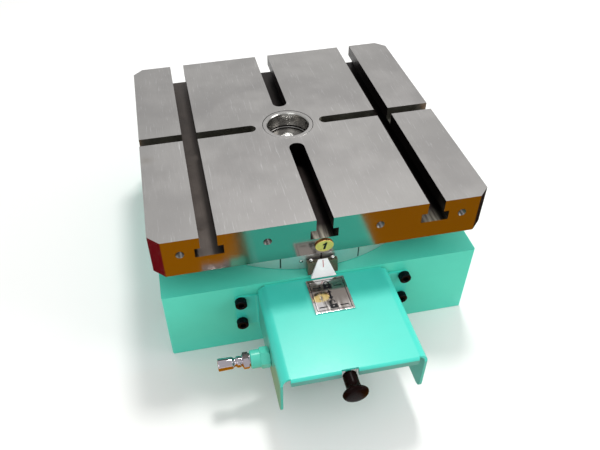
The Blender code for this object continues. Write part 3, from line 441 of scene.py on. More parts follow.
def finish(o, body, slot, *nodes, angle=35.0, weighted=True):
    me = o.data
    me.shade_smooth()
    me.set_sharp_from_angle(angle=math.radians(angle))
    if weighted:
        w = o.modifiers.new("even_shading", 'WEIGHTED_NORMAL')
        w.keep_sharp = True
        w.weight = 80
    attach(o, body)
    if nodes:
        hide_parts(*nodes)
    return o


def block(name, lo, hi, mat=None, corner=0.0, segs=6, edge=0.0, esegs=3):
    bm = bmesh.new()
    bmesh.ops.create_cube(bm, size=1.0)
    bmesh.ops.scale(bm, vec=[hi[i] - lo[i] for i in range(3)], verts=bm.verts)
    bmesh.ops.translate(bm, vec=[(hi[i] + lo[i]) / 2 for i in range(3)],
                        verts=bm.verts)
    if corner:
        es = [e for e in bm.edges
              if abs(e.verts[0].co.x - e.verts[1].co.x) < 1e-4
              and abs(e.verts[0].co.y - e.verts[1].co.y) < 1e-4]
        bmesh.ops.bevel(bm, geom=es, offset=corner, offset_type='OFFSET',
                        segments=segs, profile=0.5, affect='EDGES')
    o = take(name, bm, mat)
    return round_edges(o, edge, esegs) if edge else o


AXIS = {'Z': (0.0, 0.0, 0.0), '-Z': (math.pi, 0.0, 0.0),
        '-Y': (math.pi / 2, 0.0, 0.0), 'Y': (-math.pi / 2, 0.0, 0.0),
        'X': (0.0, math.pi / 2, 0.0), '-X': (0.0, -math.pi / 2, 0.0)}


def lathe(name, prof, segs=96, at=(0, 0, 0), axis='Z', mat=None, mats=None,
          closed=True, spin=0.0):
    """Turn (radius, height) about the piece's axis. mats(i) picks a slot."""
    bm = bmesh.new()
    rings = []
    for r, z in prof:
        if r < 1e-6:
            rings.append([bm.verts.new((0, 0, z))])
        else:
            rings.append([bm.verts.new((r * math.cos(2 * math.pi * k / segs),
                                        r * math.sin(2 * math.pi * k / segs),
                                        z)) for k in range(segs)])
    pairs = list(zip(rings, rings[1:]))
    if closed:
        pairs.append((rings[-1], rings[0]))
    for i, (a, b) in enumerate(pairs):
        for k in range(segs):
            j = (k + 1) % segs
            if len(a) == 1 and len(b) == 1:
                continue
            if len(a) == 1:
                f = bm.faces.new((a[0], b[k], b[j]))
            elif len(b) == 1:
                f = bm.faces.new((a[k], b[0], a[j]))
            else:
                f = bm.faces.new((a[k], b[k], b[j], a[j]))
            if mats:
                f.material_index = mats(i)
    o = take(name, bm, None)
    for m in (mat if isinstance(mat, (list, tuple)) else [mat]):
        if m:
            o.data.materials.append(m)
    o.location = Vector(at) * MM
    o.rotation_euler = AXIS[axis]
    o = settle(o)
    if spin:
        o.data.transform(Matrix.Rotation(spin, 4, 'Z'))
    return o


def soften(prof, r, n=4, closed=True):
    """Round every corner of a profile by about r."""
    out = []
    N = len(prof)
    for i in range(N):
        p = Vector(prof[i])
        if not closed and i in (0, N - 1):
            out.append(tuple(p))
            continue
        a, b = Vector(prof[i - 1]), Vector(prof[(i + 1) % N])
        u, v = (a - p), (b - p)
        d = min(r, u.length * 0.45, v.length * 0.45)
        if u.length < 1e-6 or v.length < 1e-6 or d < 1e-3:
            out.append(tuple(p))
            continue
        s, e = p + u.normalized() * d, p + v.normalized() * d
        for k in range(n + 1):
            t = k / n
            q = (1 - t) ** 2 * s + 2 * t * (1 - t) * p + t * t * e
            out.append((q.x, q.y))
    return out


def sheet_of(name, loops, z0, z1, mat=None):
    """Flat outlines (first is the edge, the rest are holes) given height."""
    cu = bpy.data.curves.new(name + "_line", 'CURVE')
    cu.dimensions = '2D'
    cu.fill_mode = 'BOTH'
    cu.extrude = (z1 - z0) / 2 * MM
    for pts in loops:
        sp = cu.splines.new('POLY')
        sp.points.add(len(pts) - 1)
        for p, (x, y) in zip(sp.points, pts):
            p.co = (x * MM, y * MM, 0.0, 1.0)
        sp.use_cyclic_u = True
    tmp = bpy.data.objects.new(name + "_line", cu)
    COL.objects.link(tmp)
    bpy.context.view_layer.update()
    dg = bpy.context.evaluated_depsgraph_get()
    me = bpy.data.meshes.new_from_object(tmp.evaluated_get(dg))
    bpy.data.objects.remove(tmp, do_unlink=True)
    bm = bmesh.new()
    bm.from_mesh(me)
    bpy.data.meshes.remove(me)
    bmesh.ops.remove_doubles(bm, verts=bm.verts, dist=1e-7)
    bmesh.ops.translate(bm, vec=(0, 0, (z0 + z1) / 2 * MM), verts=bm.verts)
    return take(name, bm, mat, mm=False)


def arc(cx, cy, r, a0, a1, n):
    return [(cx + r * math.cos(math.radians(a0 + (a1 - a0) * i / n)),
             cy + r * math.sin(math.radians(a0 + (a1 - a0) * i / n)))
            for i in range(n + 1)]


def rect(x0, y0, x1, y1, r=0.0, n=6):
    if not r:
        return [(x0, y0), (x1, y0), (x1, y1), (x0, y1)]
    return (arc(x1 - r, y0 + r, r, -90, 0, n) + arc(x1 - r, y1 - r, r, 0, 90, n)
            + arc(x0 + r, y1 - r, r, 90, 180, n)
            + arc(x0 + r, y0 + r, r, 180, 270, n))


def hexagon(name, across, z0, z1, at, axis, mat=None, chamfer=0.9, turn=0.0):
    """Hexagon with both ends turned to a cone, as a nut or fitting has."""
    R = across / math.sqrt(3)
    bm = bmesh.new()
    bmesh.ops.create_cone(bm, cap_ends=True, segments=6, radius1=R,
                          radius2=R, depth=z1 - z0,
                          matrix=Matrix.Translation((0, 0, (z0 + z1) / 2))
                          @ Matrix.Rotation(turn, 4, 'Z'))
    o = take(name, bm, mat)
    o.location = Vector(at) * MM
    o.rotation_euler = AXIS[axis]
    o = settle(o)
    if chamfer:
        ra = across / 2
        k = math.tan(math.radians(30))
        prof = [(0, z0), (ra - 0.15, z0), (R + 1, z0 + (R + 1.15 - ra) * k),
                (R + 1, z1 - (R + 1.15 - ra) * k), (ra - 0.15, z1), (0, z1)]
        if prof[2][1] < prof[3][1]:
            c = lathe(name + "_c", prof, 64, at, axis, mat, closed=False)
            o = carve(o, [c], 'INTERSECT')
    return o


# ================================================================ table top
def slot_painted_shade():
    """Slots painted near-black for their shade, with painted light on streaks
    of milled metal at the front mouth.
    """
    # the near-black base colour is painted shade of the deep slots
    n = Net("slot_painted_shade", (0.020, 0.016, 0.015), 0.36, 1.0)
    fine = n.noise(1.0, 5.0, 0.6, n.mapped((1600, 26, 900)))
    cloud = n.noise(30.0, 6.0, 0.6, warp=0.4)
    col = n.ramp(cloud, (0.3, (0.014, 0.011, 0.011)),
                 (0.7, (0.028, 0.022, 0.020)))
    # painted light: the slot walls lighten in streaks over their first 25 mm in
    # from the front face
    mouth = n.span(n.axes()[1], -0.1829, -0.158, 1.0, 0.0)
    streak = n.ramp(n.noise(1.0, 4.0, 0.6, n.mapped((240, 20, 120))),
                    (0.40, 0.15), (0.62, 1.0))
    col = n.mix(n.math('MULTIPLY', mouth, streak), col,
                (0.26, 0.245, 0.20))
    n.color(col)
    n.rough(n.span(fine, 0.3, 0.7, 0.30, 0.44))
    n.normal(n.bump(fine, 0.2, 0.03))
    return n.m


M_SLOT_PAINTED_SHADE = slot_painted_shade()


def table_top():
    bm = bmesh.new()
    bmesh.ops.create_cube(bm, size=1.0)
    bmesh.ops.scale(bm, vec=(SIDE, SIDE, THICK), verts=bm.verts)
    bmesh.ops.translate(bm, vec=(0, 0, TOP - THICK / 2), verts=bm.verts)
    es = [e for e in bm.edges
          if abs(e.verts[0].co.x - e.verts[1].co.x) < 1e-4
          and abs(e.verts[0].co.y - e.verts[1].co.y) < 1e-4]
    bmesh.ops.bevel(bm, geom=es, offset=CORNER, offset_type='OFFSET',
                    segments=1, profile=0.5, affect='EDGES')
    o = take("table_top", bm, M_SIDE)
    cuts = []
    H = SIDE / 2 + 3

    def slot_cut(x, y0, y1, stop=None):
        for w, z0, z1 in ((NECK_W, FLOOR + 4, TOP + 2),
                          (WIDE_W, FLOOR, TOP - NECK_D)):
            if stop is None:
                pts = rect(x - w / 2, y0, x + w / 2, y1)
            elif stop > 0:
                pts = [(x + w / 2, y1), (x - w / 2, y1)] + \
                    arc(x, stop + NECK_W / 2, w / 2, 180, 360, 28)
            else:
                pts = [(x - w / 2, y0), (x + w / 2, y0)] + \
                    arc(x, stop - NECK_W / 2, w / 2, 0, 180, 28)
            cuts.append(sheet_of("cut", [pts], z0, z1, M_SLOT))

    slot_cut(-PITCH, -H, H)
    slot_cut(PITCH, -H, H)
    slot_cut(0.0, -H, 0, -SLOT_END)
    slot_cut(0.0, 0, H, SLOT_END)
    for s in (-1, 1):
        cx = s * (KEY_END + KEY_W / 2)
        pts = [(s * H, s * KEY_W / 2), (s * H, -s * KEY_W / 2)] + \
            arc(cx, 0, KEY_W / 2, -90 * s if s < 0 else 270,
                90, 24)
        if s < 0:
            pts = [(-H, KEY_W / 2), (-H, -KEY_W / 2)] + \
                arc(cx, 0, KEY_W / 2, -90, 90, 24)
        else:
            pts = [(H, -KEY_W / 2), (H, KEY_W / 2)] + \
                arc(cx, 0, KEY_W / 2, 90, 270, 24)
        cuts.append(sheet_of("cut", [pts], TOP - KEY_D + 0.02, TOP + 2,
                             M_KEY))
    cuts.append(lathe("cut", [(0, BOT - 2), (BORE_R, BOT - 2),
                              (BORE_R, TOP + 2), (0, TOP + 2)], 128,
                      mat=M_SLOT, closed=False))
    o = carve(o, cuts)
    o = round_edges(o, 0.45, 2, 50)
    # tapped holes: countersink, then real thread rings
    cuts = []
    z = TOP - 19.1
    for q in range(4):
        rot = Matrix.Rotation(q * math.pi / 2, 4, 'Z')
        for x in HOLE_X:
            prof = [(0, 2.0), (4.5, 2.0), (4.5, 0.0), (3.45, -1.05)]
            d = -1.05
            while d > -17.0:
                prof += [(4.0, d - 0.55), (4.0, d - 0.70), (3.4, d - 1.25)]
                d -= 1.25
            prof += [(3.4, -20.0), (0, -21.5)]
            c = lathe("cut", prof, 32, (0, 0, 0), 'Z', M_THREAD,
                      closed=False)
            c.data.transform(Matrix.Translation(rot @ Vector(
                (x * MM, -SIDE / 2 * MM, z * MM)))
                @ rot @ Matrix.Rotation(math.pi / 2, 4, 'X'))
            cuts.append(c)
    o = carve(o, cuts)
    # faces by place: top, bright edges, slots and the rest
    me = o.data
    idx = {m.name: i for i, m in enumerate(me.materials)}
    for m in (M_TOP, M_EDGE, M_SLOT_PAINTED_SHADE):
        if m.name not in idx:
            me.materials.append(m)
            idx[m.name] = len(me.materials) - 1
    for p in me.polygons:
        n, c = p.normal, p.center / MM
        if n.z > 0.99 and c.z > TOP - 0.05:
            p.material_index = idx["ground_top"]
        # painted shade: slot faces right of x = -60 mm (the middle and right
        # slots and the bore) get the near-black material, the left slot keeps
        # the lighter milled metal
        elif (me.materials[p.material_index].name == "slot_milled"
              and c.x > -60 and c.z < TOP - 0.6):
            p.material_index = idx["slot_painted_shade"]
        elif me.materials[p.material_index].name in ("ground_side",
                                                     "slot_milled",
                                                     "keyway_milled"):
            mixed = sum(abs(v) > 0.12 for v in n)
            if mixed >= 2 and p.area < 4e-4 and not (
                    abs(abs(n.x) - abs(n.y)) < 0.02 and abs(n.z) < 0.05
                    and p.area > 1e-4):
                if c.z > TOP - 1.0 or max(abs(c.x), abs(c.y)) > SIDE / 2 - 1:
                    p.material_index = idx["edge_bright"]
    return finish(o, "table", "ground_iron", "table_plate", angle=30)


table_top()

# centre bush, spindle face and its screw ------------------------------------
o = lathe("bore_bush",
          soften([(BUSH_BORE_R + 1.0, TOP), (BUSH_R - 0.55, TOP),
                  (BUSH_R, TOP - 0.55), (BUSH_R, TOP - BUSH_H),
                  (BUSH_BORE_R + 0.6, TOP - BUSH_H),
                  (BUSH_BORE_R, TOP - BUSH_H + 0.8),
                  (BUSH_BORE_R, TOP - 1.4)], 0.25, 2), 128,
          mat=M_BUSH)
o.data.materials.append(M_TOP)
for p in o.data.polygons:
    if p.normal.z > 0.95 and p.center.z / MM > TOP - 0.1:
        p.material_index = len(o.data.materials) - 1
finish(o, "table", "ground_steel", "center_bush", angle=50)

SP = TOP - BUSH_H - 2.0
prof = [(0, SP), (4.9, SP), (5.0, SP), (22.0, SP), (22.6, SP - 0.7),
        (25.4, SP - 0.7), (26.0, SP),
        (BUSH_R - 0.8, SP), (BUSH_R, SP - 0.8), (BUSH_R, BOT - 0.3),
        (66.0, BOT - 0.3), (66.0, 113.0), (44.0, 113.0), (44.0, 102.3),
        (40.0, 102.3), (40.0, 70.0), (32.0, 68.0), (32.0, 23.0),
        (31.0, 22.0), (0, 22.0)]
o = lathe("spindle_body", prof, 96, mat=M_SPINDLE, closed=False)
o = carve(o, [lathe("cut", [(0, SP - 20), (4.2, SP - 20), (4.2, SP - 0.9),
                            (5.1, SP), (5.1, SP + 2), (0, SP + 2)], 48,
                    mat=M_THREAD, closed=False)])
finish(o, "table", "ground_steel", "spindle", angle=30)


def socket_screw(name, head_r, head_h, shank_r, shank_l, af, sink, at, axis,
                 mat, body, slot, node, knurl=36, dome=0.0, edge=0.9,
                 pitch=1.25):
    """Socket head screw: knurled head, chamfers, real hexagon, thread."""
    segs = knurl * 4 if knurl else 96
    prof, kn = [], []

    def add(r, z, k=0.0):
        prof.append((r, z))
        kn.append(k)

    add(0, head_h)
    if dome:
        for i in range(1, 9):
            t = i / 8
            add((head_r - 0.2) * math.sin(t * math.pi / 2) * 0.98,
                head_h - dome * (1 - math.cos(t * math.pi / 2)))
    else:
        add(head_r - edge * 1.5, head_h)
        add(head_r - edge, head_h - 0.12)
        add(head_r - edge * 0.35, head_h - edge * 0.5)
    kz1, kz0 = head_h - edge - dome, 0.9
    add(head_r, kz1 + 0.2)
    if knurl:
        add(head_r, kz1, 1.0)
        add(head_r, kz0, 1.0)
    add(head_r, kz0 - 0.2)
    add(head_r - 0.3, 0.25)
    add(head_r - 0.5, 0.0)
    add(shank_r + 0.35, 0.0)
    add(shank_r, -0.35)
    d = -2.5
    add(shank_r, d)
    while d - pitch > -shank_l + 1.0:
        add(shank_r - pitch * 0.45, d - pitch * 0.5)
        add(shank_r, d - pitch)
        d -= pitch
    add(shank_r - 0.2, -shank_l + 0.7)
    add(shank_r - 0.9, -shank_l)
    add(0, -shank_l)
    bm = bmesh.new()
    rings = []
    for (r, z), k in zip(prof, kn):
        if r < 1e-6:
            rings.append([bm.verts.new((0, 0, z))])
            continue
        ring = []
        for i in range(segs):
            rr = r - (0.28 if k and i % 4 == 2 else 0.12 if k and i % 2
                      else 0.0)
            a = 2 * math.pi * i / segs
            ring.append(bm.verts.new((rr * math.cos(a), rr * math.sin(a), z)))
        rings.append(ring)
    for a, b in zip(rings, rings[1:]):
        for i in range(segs):
            j = (i + 1) % segs
            if len(a) == 1:
                bm.faces.new((a[0], b[i], b[j]))
            elif len(b) == 1:
                bm.faces.new((a[i], b[0], a[j]))
            else:
                bm.faces.new((a[i], b[i], b[j], a[j]))
    o = take(name, bm, mat)
    R = af / math.sqrt(3)
    c = bmesh.new()
    bmesh.ops.create_cone(c, cap_ends=True, segments=6, radius1=R, radius2=R,
                          depth=sink + 3, matrix=Matrix.Translation(
                              (0, 0, head_h - sink + (sink + 3) / 2)))
    cut = take("cut", c, mat)
    cone = lathe("cut", [(0, head_h - sink - R * 0.35), (R * 0.93,
                 head_h - sink + 0.01), (0, head_h - sink + 0.02)], 6,
                 mat=mat, closed=False)
    cone2 = lathe("cut", [(0, head_h - 0.5), (R - 0.25, head_h - 0.5),
                          (R + 0.55, head_h + 0.4), (0, head_h + 0.4)], 48,
                  mat=mat, closed=False)
    o = carve(o, [cut, cone2])
    bpy.data.objects.remove(cone, do_unlink=True)
    o.location = Vector(at) * MM
    o.rotation_euler = AXIS[axis]
    o = settle(o)
    return finish(o, body, slot, node, angle=38)


socket_screw("centre_screw", 9.0, 5.0, 3.9, 16.0, 6.0, 3.0,
             (0, 0, SP + 0.3), 'Z', M_CHROME, "table", "bright_screw",
             "spindle_center_screw", knurl=0, dome=2.6)
Y_REAR = -BASE_Y - 0.3
Y_FACE = Y_REAR - SHEET
for i, (x, z) in enumerate([(-SCREW_X, SCREW_Z[1]), (-SCREW_X, SCREW_Z[0]),
                            (SCREW_X, SCREW_Z[1]), (SCREW_X, SCREW_Z[0])]):
    socket_screw("cap_screw_%d" % (i + 1), 6.5, 8.0, 3.9, 19.0, 6.0, 4.0,
                 (x, Y_FACE - 0.3, z), '-Y', M_OXIDE, "base", "black_oxide",
                 "cover_screw_%d" % (i + 1))
for i, x in enumerate((-12.0, 12.0)):
    socket_screw("bracket_cap_screw_%d" % (i + 1), 2.1, 2.2, 1.0, 4.0, 1.5,
                 1.0, (x, -174.7, 111.8), 'Z', M_CHROME, "base",
                 "bright_screw", "pointer_screw_%d" % (i + 1), knurl=0,
                 dome=0.9, edge=0.3, pitch=0.4)


# ============================================================ graduated ring
def ring():
    prof = soften([(RING_IN, BOT - 0.3), (RING_R, BOT - 0.3),
                   (RING_R, BASE_H + 0.9), (RING_R - 0.5, BASE_H + 0.4),
                   (RING_IN, BASE_H + 0.4)], 0.35, 2)
    o = lathe("index_ring", prof, 288, mat=M_RING)
    bm = bmesh.new()
    for i in range(MARKS):
        a = 2 * math.pi * i / MARKS
        bmesh.ops.create_cube(
            bm, size=1.0, matrix=Matrix.Rotation(a, 4, 'Z')
            @ Matrix.Translation((0, -RING_R, (BOT + BASE_H) / 2))
            @ Matrix.Diagonal((1.5, 1.1, BOT - BASE_H - 4.0, 1)))
    cuts = [take("cut", bm, M_MARK)]
    # small round-headed screws between the marks, one per quarter
    for q in range(4):
        a = math.radians(-7.4) + q * math.pi / 2
        p = Matrix.Rotation(a, 4, 'Z') @ Vector((0, -RING_R, 108.0))
        c = lathe("cut", [(0, 1.0), (2.0, 1.0), (2.0, -1.6), (0, -1.6)], 32,
                  mat=M_MARK, closed=False)
        c.data.transform(Matrix.Translation(p * MM)
                         @ Matrix.Rotation(a, 4, 'Z')
                         @ Matrix.Rotation(math.pi / 2, 4, 'X'))
        cuts.append(c)
    o = carve(o, cuts)
    finish(o, "table", "ground_steel", "graduated_ring", angle=30)
    for q in range(4):
        a = math.radians(-7.4) + q * math.pi / 2
        p = Matrix.Rotation(a, 4, 'Z') @ Vector((0, -RING_R, 108.0))
        prof = [(0, 0.55), (0.5, 0.5), (1.0, 0.34), (1.4, 0.05),
                (1.62, -0.4), (1.62, -1.45), (0, -1.45)]
        s = lathe("ring_screw_%d" % (q + 1), prof, 32, mat=M_CHROME,
                  closed=False)
        s.data.transform(Matrix.Translation(p * MM)
                         @ Matrix.Rotation(a, 4, 'Z')
                         @ Matrix.Rotation(math.pi / 2, 4, 'X'))
        finish(s, "table", "bright_screw", angle=60)


ring()


# ============================================================== number discs
def numeral(name, text, turn, at, height, depth, mat):
    """A slanted bold numeral, raised from the disc."""
    cu = bpy.data.curves.new(name, 'FONT')
    cu.body = text
    cu.size = height * MM
    cu.align_x = 'CENTER'
    cu.align_y = 'CENTER'
    cu.shear = 0.28
    cu.offset = 0.55 * MM
    cu.extrude = depth / 2 * MM
    cu.resolution_u = 6
    cu.materials.append(mat)
    o = bpy.data.objects.new(name, cu)
    COL.objects.link(o)
    rot = Matrix.Rotation(turn, 4, 'Z')
    o.matrix_world = (Matrix.Translation(rot @ (Vector(at) * MM)) @ rot
                      @ Matrix.Rotation(math.pi / 2, 4, 'X'))
    o = settle(o)
    bm = bmesh.new()
    bm.from_mesh(o.data)
    bmesh.ops.remove_doubles(bm, verts=bm.verts, dist=1e-6)
    bm.to_mesh(o.data)
    bm.free()
    return o


ONE = [[(1.3, -4.75), (1.3, 4.75), (-0.5, 4.75), (-1.4, 3.5), (-3.0, 2.7),
        (-3.0, 0.9), (-1.1, 1.6), (-1.1, -4.75)]]
FOUR = [[(0.6, -4.75), (2.8, -4.75), (2.8, -2.6), (4, -2.6), (4, -0.8),
         (2.8, -0.8), (2.8, 4.75), (0.5, 4.75), (-4, -0.9), (-4, -2.6),
         (0.6, -2.6)], [(0.6, -0.8), (0.6, 2.0), (-1.7, -0.8)]]


def cut_numeral(name, loops, turn, at, depth, mat):
    o = sheet_of(name, [[(x + 0.22 * y + 0.6, 0.97 * y) for x, y in p]
                        for p in loops], -depth / 2, depth / 2, mat)
    rot = Matrix.Rotation(turn, 4, 'Z')
    o.data.transform(Matrix.Translation(rot @ (Vector(at) * MM)) @ rot
                     @ Matrix.Rotation(math.pi / 2, 4, 'X'))
    return o


for i in range(4):
    a = i * math.pi / 2
    z = TOP - 35.4
    rot = Matrix.Rotation(a, 4, 'Z')
    prof = [(0, 1.8), (9.1, 1.8), (9.3, 1.98), (9.55, 1.98),
            (9.85, 1.8), (10.0, 1.45), (10.0, 0.3), (9.8, 0.0), (0, 0.0)]
    # the rim faces take the darker brown: painted shade
    o = lathe("dial_disc_%d" % (i + 1), prof, 96, mat=[M_BRASS, M_RIM_SHADE],
              mats=lambda k: 1 if k >= 4 else 0, closed=False)
    o.data.transform(Matrix.Diagonal((1.0, 0.78, 1.0, 1.0)))
    o.data.transform(Matrix.Translation(rot @ Vector(
        (0, -(SIDE / 2 + 0.3) * MM, z * MM))) @ rot
        @ Matrix.Rotation(math.pi / 2, 4, 'X'))
    finish(o, "table", "disc_brass", "number_disc_%d" % (i + 1), angle=50)
    at = (0, -(SIDE / 2 + 0.3) - 1.8 - 0.09, z)
    if i in (0, 3):
        t = cut_numeral("dial_numeral_%d" % (i + 1), ONE if i == 0 else FOUR,
                        a, at, 0.16, M_INK)
    else:
        t = numeral("dial_numeral_%d" % (i + 1), str(i + 1), a, at, 11.0,
                    0.16, M_INK)
    finish(t, "table", "disc_brass", angle=40, weighted=False)


# =================================================================== base
def base():
    o = block("base_box", (-BASE_X, -BASE_Y, 0), (BASE_X, BASE_Y, BASE_H),
              M_MINT, corner=2.5, segs=5)
    cav = block("cut", (-BASE_X + 36.5, -BASE_Y + 31.5, 16.0),
                (BASE_X - 36.5, BASE_Y - 31.5, BASE_H - 14.0), M_INSIDE,
                corner=25.0, segs=10)
    deck = lathe("cut", [(0, BASE_H - 19), (140.0, BASE_H - 19),
                         (140.0, BASE_H + 5), (0, BASE_H + 5)], 160,
                 mat=M_INSIDE, closed=False)
    o = carve(o, [cav, deck])
    boss = lathe("cut", [(0, 10), (70, 10), (70, 105.2), (69.2, 106),
                         (0, 106)], 96, mat=M_INSIDE, closed=False)
    o = carve(o, [boss], 'UNION')
    cuts = [lathe("cut", [(0, 83.7), (62.3, 83.7), (62.3, 111), (0, 111)],
                  96, mat=M_STEEL, closed=False),
            lathe("cut", [(0, 61), (50, 61), (50, 89), (0, 89)], 72,
                  mat=M_STEEL, closed=False),
            lathe("cut", [(0, 29.7), (40.3, 29.7), (40.3, 65), (0, 65)], 72,
                  mat=M_STEEL, closed=False),
            lathe("cut", [(0, 19), (36, 19), (36, 40), (0, 40)], 72,
                  mat=M_STEEL, closed=False),
            lathe("cut", [(0, 0), (15.3, 0), (15.3, 60), (0, 60)], 48,
                  (0, -BASE_Y + 45.0, 73.0), '-Y', M_STEEL, closed=False)]
    for sx in (-1, 1):
        for sy in (-1, 1):
            x1, x0 = sx * (BASE_X + 5), sx * (BASE_X - 26.0)
            y = sy * 110.0
            c = block("cut", (min(x0, x1), y - 26, 20.0),
                      (max(x0, x1), y + 26, 64.0), M_MINT)
            cuts.append(c)
            cx = sx * (BASE_X - 26.0 + 9.0 + 3)
            if sx > 0:
                pts = [(BASE_X + 5, y - 9), (BASE_X + 5, y + 9)] + \
                    arc(cx, y, 9, 90, 270, 24)
            else:
                pts = [(-BASE_X - 5, y + 9), (-BASE_X - 5, y - 9)] + \
                    arc(cx, y, 9, -90, 90, 24)
            cuts.append(sheet_of("cut", [pts], -3, 23.0, M_MINT))
    for x, z in [(-SCREW_X, 77.0), (-SCREW_X, 43.3), (SCREW_X, 77.0),
                 (SCREW_X, 43.3)]:
        cuts.append(lathe("cut", [(0, -20.5), (4.2, -20.5), (4.2, 5),
                                  (0, 5)], 32, (x, -BASE_Y, z), '-Y',
                          M_THREAD, closed=False))
    for x in (KNOB[0] - 8, KNOB[0] + 8):
        cuts.append(lathe("cut", [(0, -14), (2.5, -14), (2.5, 4), (0, 4)],
                          24, (x, -BASE_Y, 34.0), '-Y', M_THREAD,
                          closed=False))
    cuts.append(lathe("cut", [(0, -40), (4, -40), (4, 5), (0, 5)], 32,
                      (54.0, -BASE_Y, 36.5), '-Y', M_INSIDE, closed=False))
    o = carve(o, cuts)
    o = round_edges(o, 1.0, 3, 55)
    # painted highlight: the faces of the top bevel get the paler mint
    o.data.materials.append(M_MINT_EDGE_HIGHLIGHT)
    for p in o.data.polygons:
        c = p.center / MM
        if BASE_H - 1.0 < c.z < BASE_H - 0.02 and p.normal.z > 0.1 and (
                abs(c.x) > BASE_X - 1.2 or abs(c.y) > BASE_Y - 1.2):
            p.material_index = len(o.data.materials) - 1
    return finish(o, "base", "mint_paint", "base_casting", angle=32)


base()


# ============================================================= folded cover
def cover():
    FR, LIP_R = 3.4, 3.0
    cx = COVER_X - BEND
    notch = (-14.0, 3.0)
    yt = COVER_Y + LIP_R
    bm = bmesh.new()

    def run(edges, vec):
        r = bmesh.ops.extrude_edge_only(bm, edges=edges)
        vs = [g for g in r['geom'] if isinstance(g, bmesh.types.BMVert)]
        es = [g for g in r['geom'] if isinstance(g, bmesh.types.BMEdge)
              and g.verts[0] in vs and g.verts[1] in vs]
        bmesh.ops.translate(bm, verts=vs, vec=vec)
        return es

    def bend(edges, centre, axis, angle, steps):
        for _ in range(steps):
            r = bmesh.ops.extrude_edge_only(bm, edges=edges)
            vs = [g for g in r['geom'] if isinstance(g, bmesh.types.BMVert)]
            edges = [g for g in r['geom'] if isinstance(g, bmesh.types.BMEdge)
                     and g.verts[0] in vs and g.verts[1] in vs]
            bmesh.ops.rotate(bm, verts=vs, cent=centre,
                             matrix=Matrix.Rotation(angle / steps, 3, axis))
        return edges

    def where(f):
        return [e for e in bm.edges if all(f(v.co) for v in e.verts)]

    ys = [yt, Y_FACE - FR, Y_REAR]
    vs = [bm.verts.new((x, ys[0], COVER_TOP))
          for x in (-cx, notch[0], notch[1], cx)]
    es = [bm.edges.new((a, b)) for a, b in zip(vs, vs[1:])]
    e1 = run(es, (0, ys[1] - ys[0], 0))
    run(e1, (0, ys[2] - ys[1], 0))
    lip = [e for e in where(lambda c: abs(c.y - yt) < 1e-4)
           if not (notch[0] < (e.verts[0].co.x + e.verts[1].co.x) / 2
                   < notch[1])]
    e1 = bend(lip, (0, yt, COVER_TOP - LIP_R), 'X', math.pi / 2, 8)
    run(e1, (0, 0, LIP_BOT - (COVER_TOP - LIP_R)))
    for s in (-1, 1):
        side = where(lambda c: abs(c.x - s * cx) < 1e-4
                     and abs(c.z - COVER_TOP) < 1e-4 and c.y > yt - 1e-4)
        e1 = bend(side, (s * cx, 0, COVER_TOP - BEND), 'Y', s * math.pi / 2,
                  14)
        low = [e for e in e1 if min(v.co.y for v in e.verts)
               < Y_FACE - FR - 1]
        e2 = run(low, (0, 0, FLANGE_TOP - (COVER_TOP - BEND)))
        run(e2, (0, 0, COVER_BOT - FLANGE_TOP))
        rear = where(lambda c: abs(c.x - s * COVER_X) < 1e-3
                     and abs(c.y - (Y_FACE - FR)) < 1e-3
                     and c.z < FLANGE_TOP + 1e-3)
        e3 = bend(rear, (s * (COVER_X + FR), Y_FACE - FR, 0), 'Z',
                  s * -math.pi / 2, 8)
        run(e3, (s * (FLANGE_X - COVER_X - FR), 0, 0))
    bmesh.ops.remove_doubles(bm, verts=bm.verts, dist=1e-4)

    # rounded corners, cut in the flat before the sheet gets its thickness
    def corner_verts(f):
        return [v for v in bm.verts if f(v.co) and len(v.link_faces) == 1]

    for f, r in ((lambda c: abs(abs(c.x) - FLANGE_X) < 1e-3, 3.5),
                 (lambda c: abs(abs(c.x) - COVER_X) < 1e-3
                  and abs(c.y - yt) < 1e-3 and c.z < COVER_BOT + 0.01, 8.5),
                 (lambda c: abs(c.z - LIP_BOT) < 1e-3
                  and c.y < yt, 1.2)):
        cv = corner_verts(f)
        if cv:
            bmesh.ops.bevel(bm, geom=cv, offset=r, offset_type='OFFSET',
                            segments=6, profile=0.5, affect='VERTICES')
    # the side bends stop short of the base, which leaves a dark crescent
    for v in bm.verts:
        if abs(v.co.x) > cx + 0.8 and v.co.y > Y_REAR - 0.01 and (
                COVER_TOP - BEND - 0.5 < v.co.z < COVER_TOP - 0.25):
            v.co.y -= 1.5
    o = take("folded_cover", bm, M_MINT2)
    m = o.modifiers.new("sheet", 'SOLIDIFY')
    m.thickness = SHEET * MM
    m.offset = -1.0
    m.use_even_offset = True
    cuts = []
    for x in (-SCREW_X, SCREW_X):
        for z in SCREW_Z:
            cuts.append(lathe("cut", [(0, -10), (4.5, -10), (4.5, 10),
                                      (0, 10)], 48, (x, Y_REAR, z), '-Y',
                              M_MINT2, closed=False))
    cuts.append(lathe("cut", [(0, -15), (8.3, -15), (8.3, 15), (0, 15)], 64,
                      PLUG, '-X', M_MINT2, closed=False))
    o = carve(o, cuts)
    o = round_edges(o, 0.45, 2, 60)
    # painted shade: the front lip and the lower side walls take the darker
    # greens
    base_i = len(o.data.materials)
    o.data.materials.append(M_MINT_LIP_SHADE)
    o.data.materials.append(M_MINT_WALL_SHADE)
    for p in o.data.polygons:
        c = p.center / MM
        if p.normal.y < -0.8 and c.y < COVER_Y + 0.3 and (
                abs(c.x) < cx + 1 and c.z < COVER_TOP - 3):
            p.material_index = base_i
        elif abs(c.x) > COVER_X - 3.2 and c.y < Y_FACE - FR and (
                c.z < COVER_TOP - BEND - 2):
            p.material_index = base_i + 1
    return finish(o, "base", "mint_paint", "front_cover", angle=32)


cover()

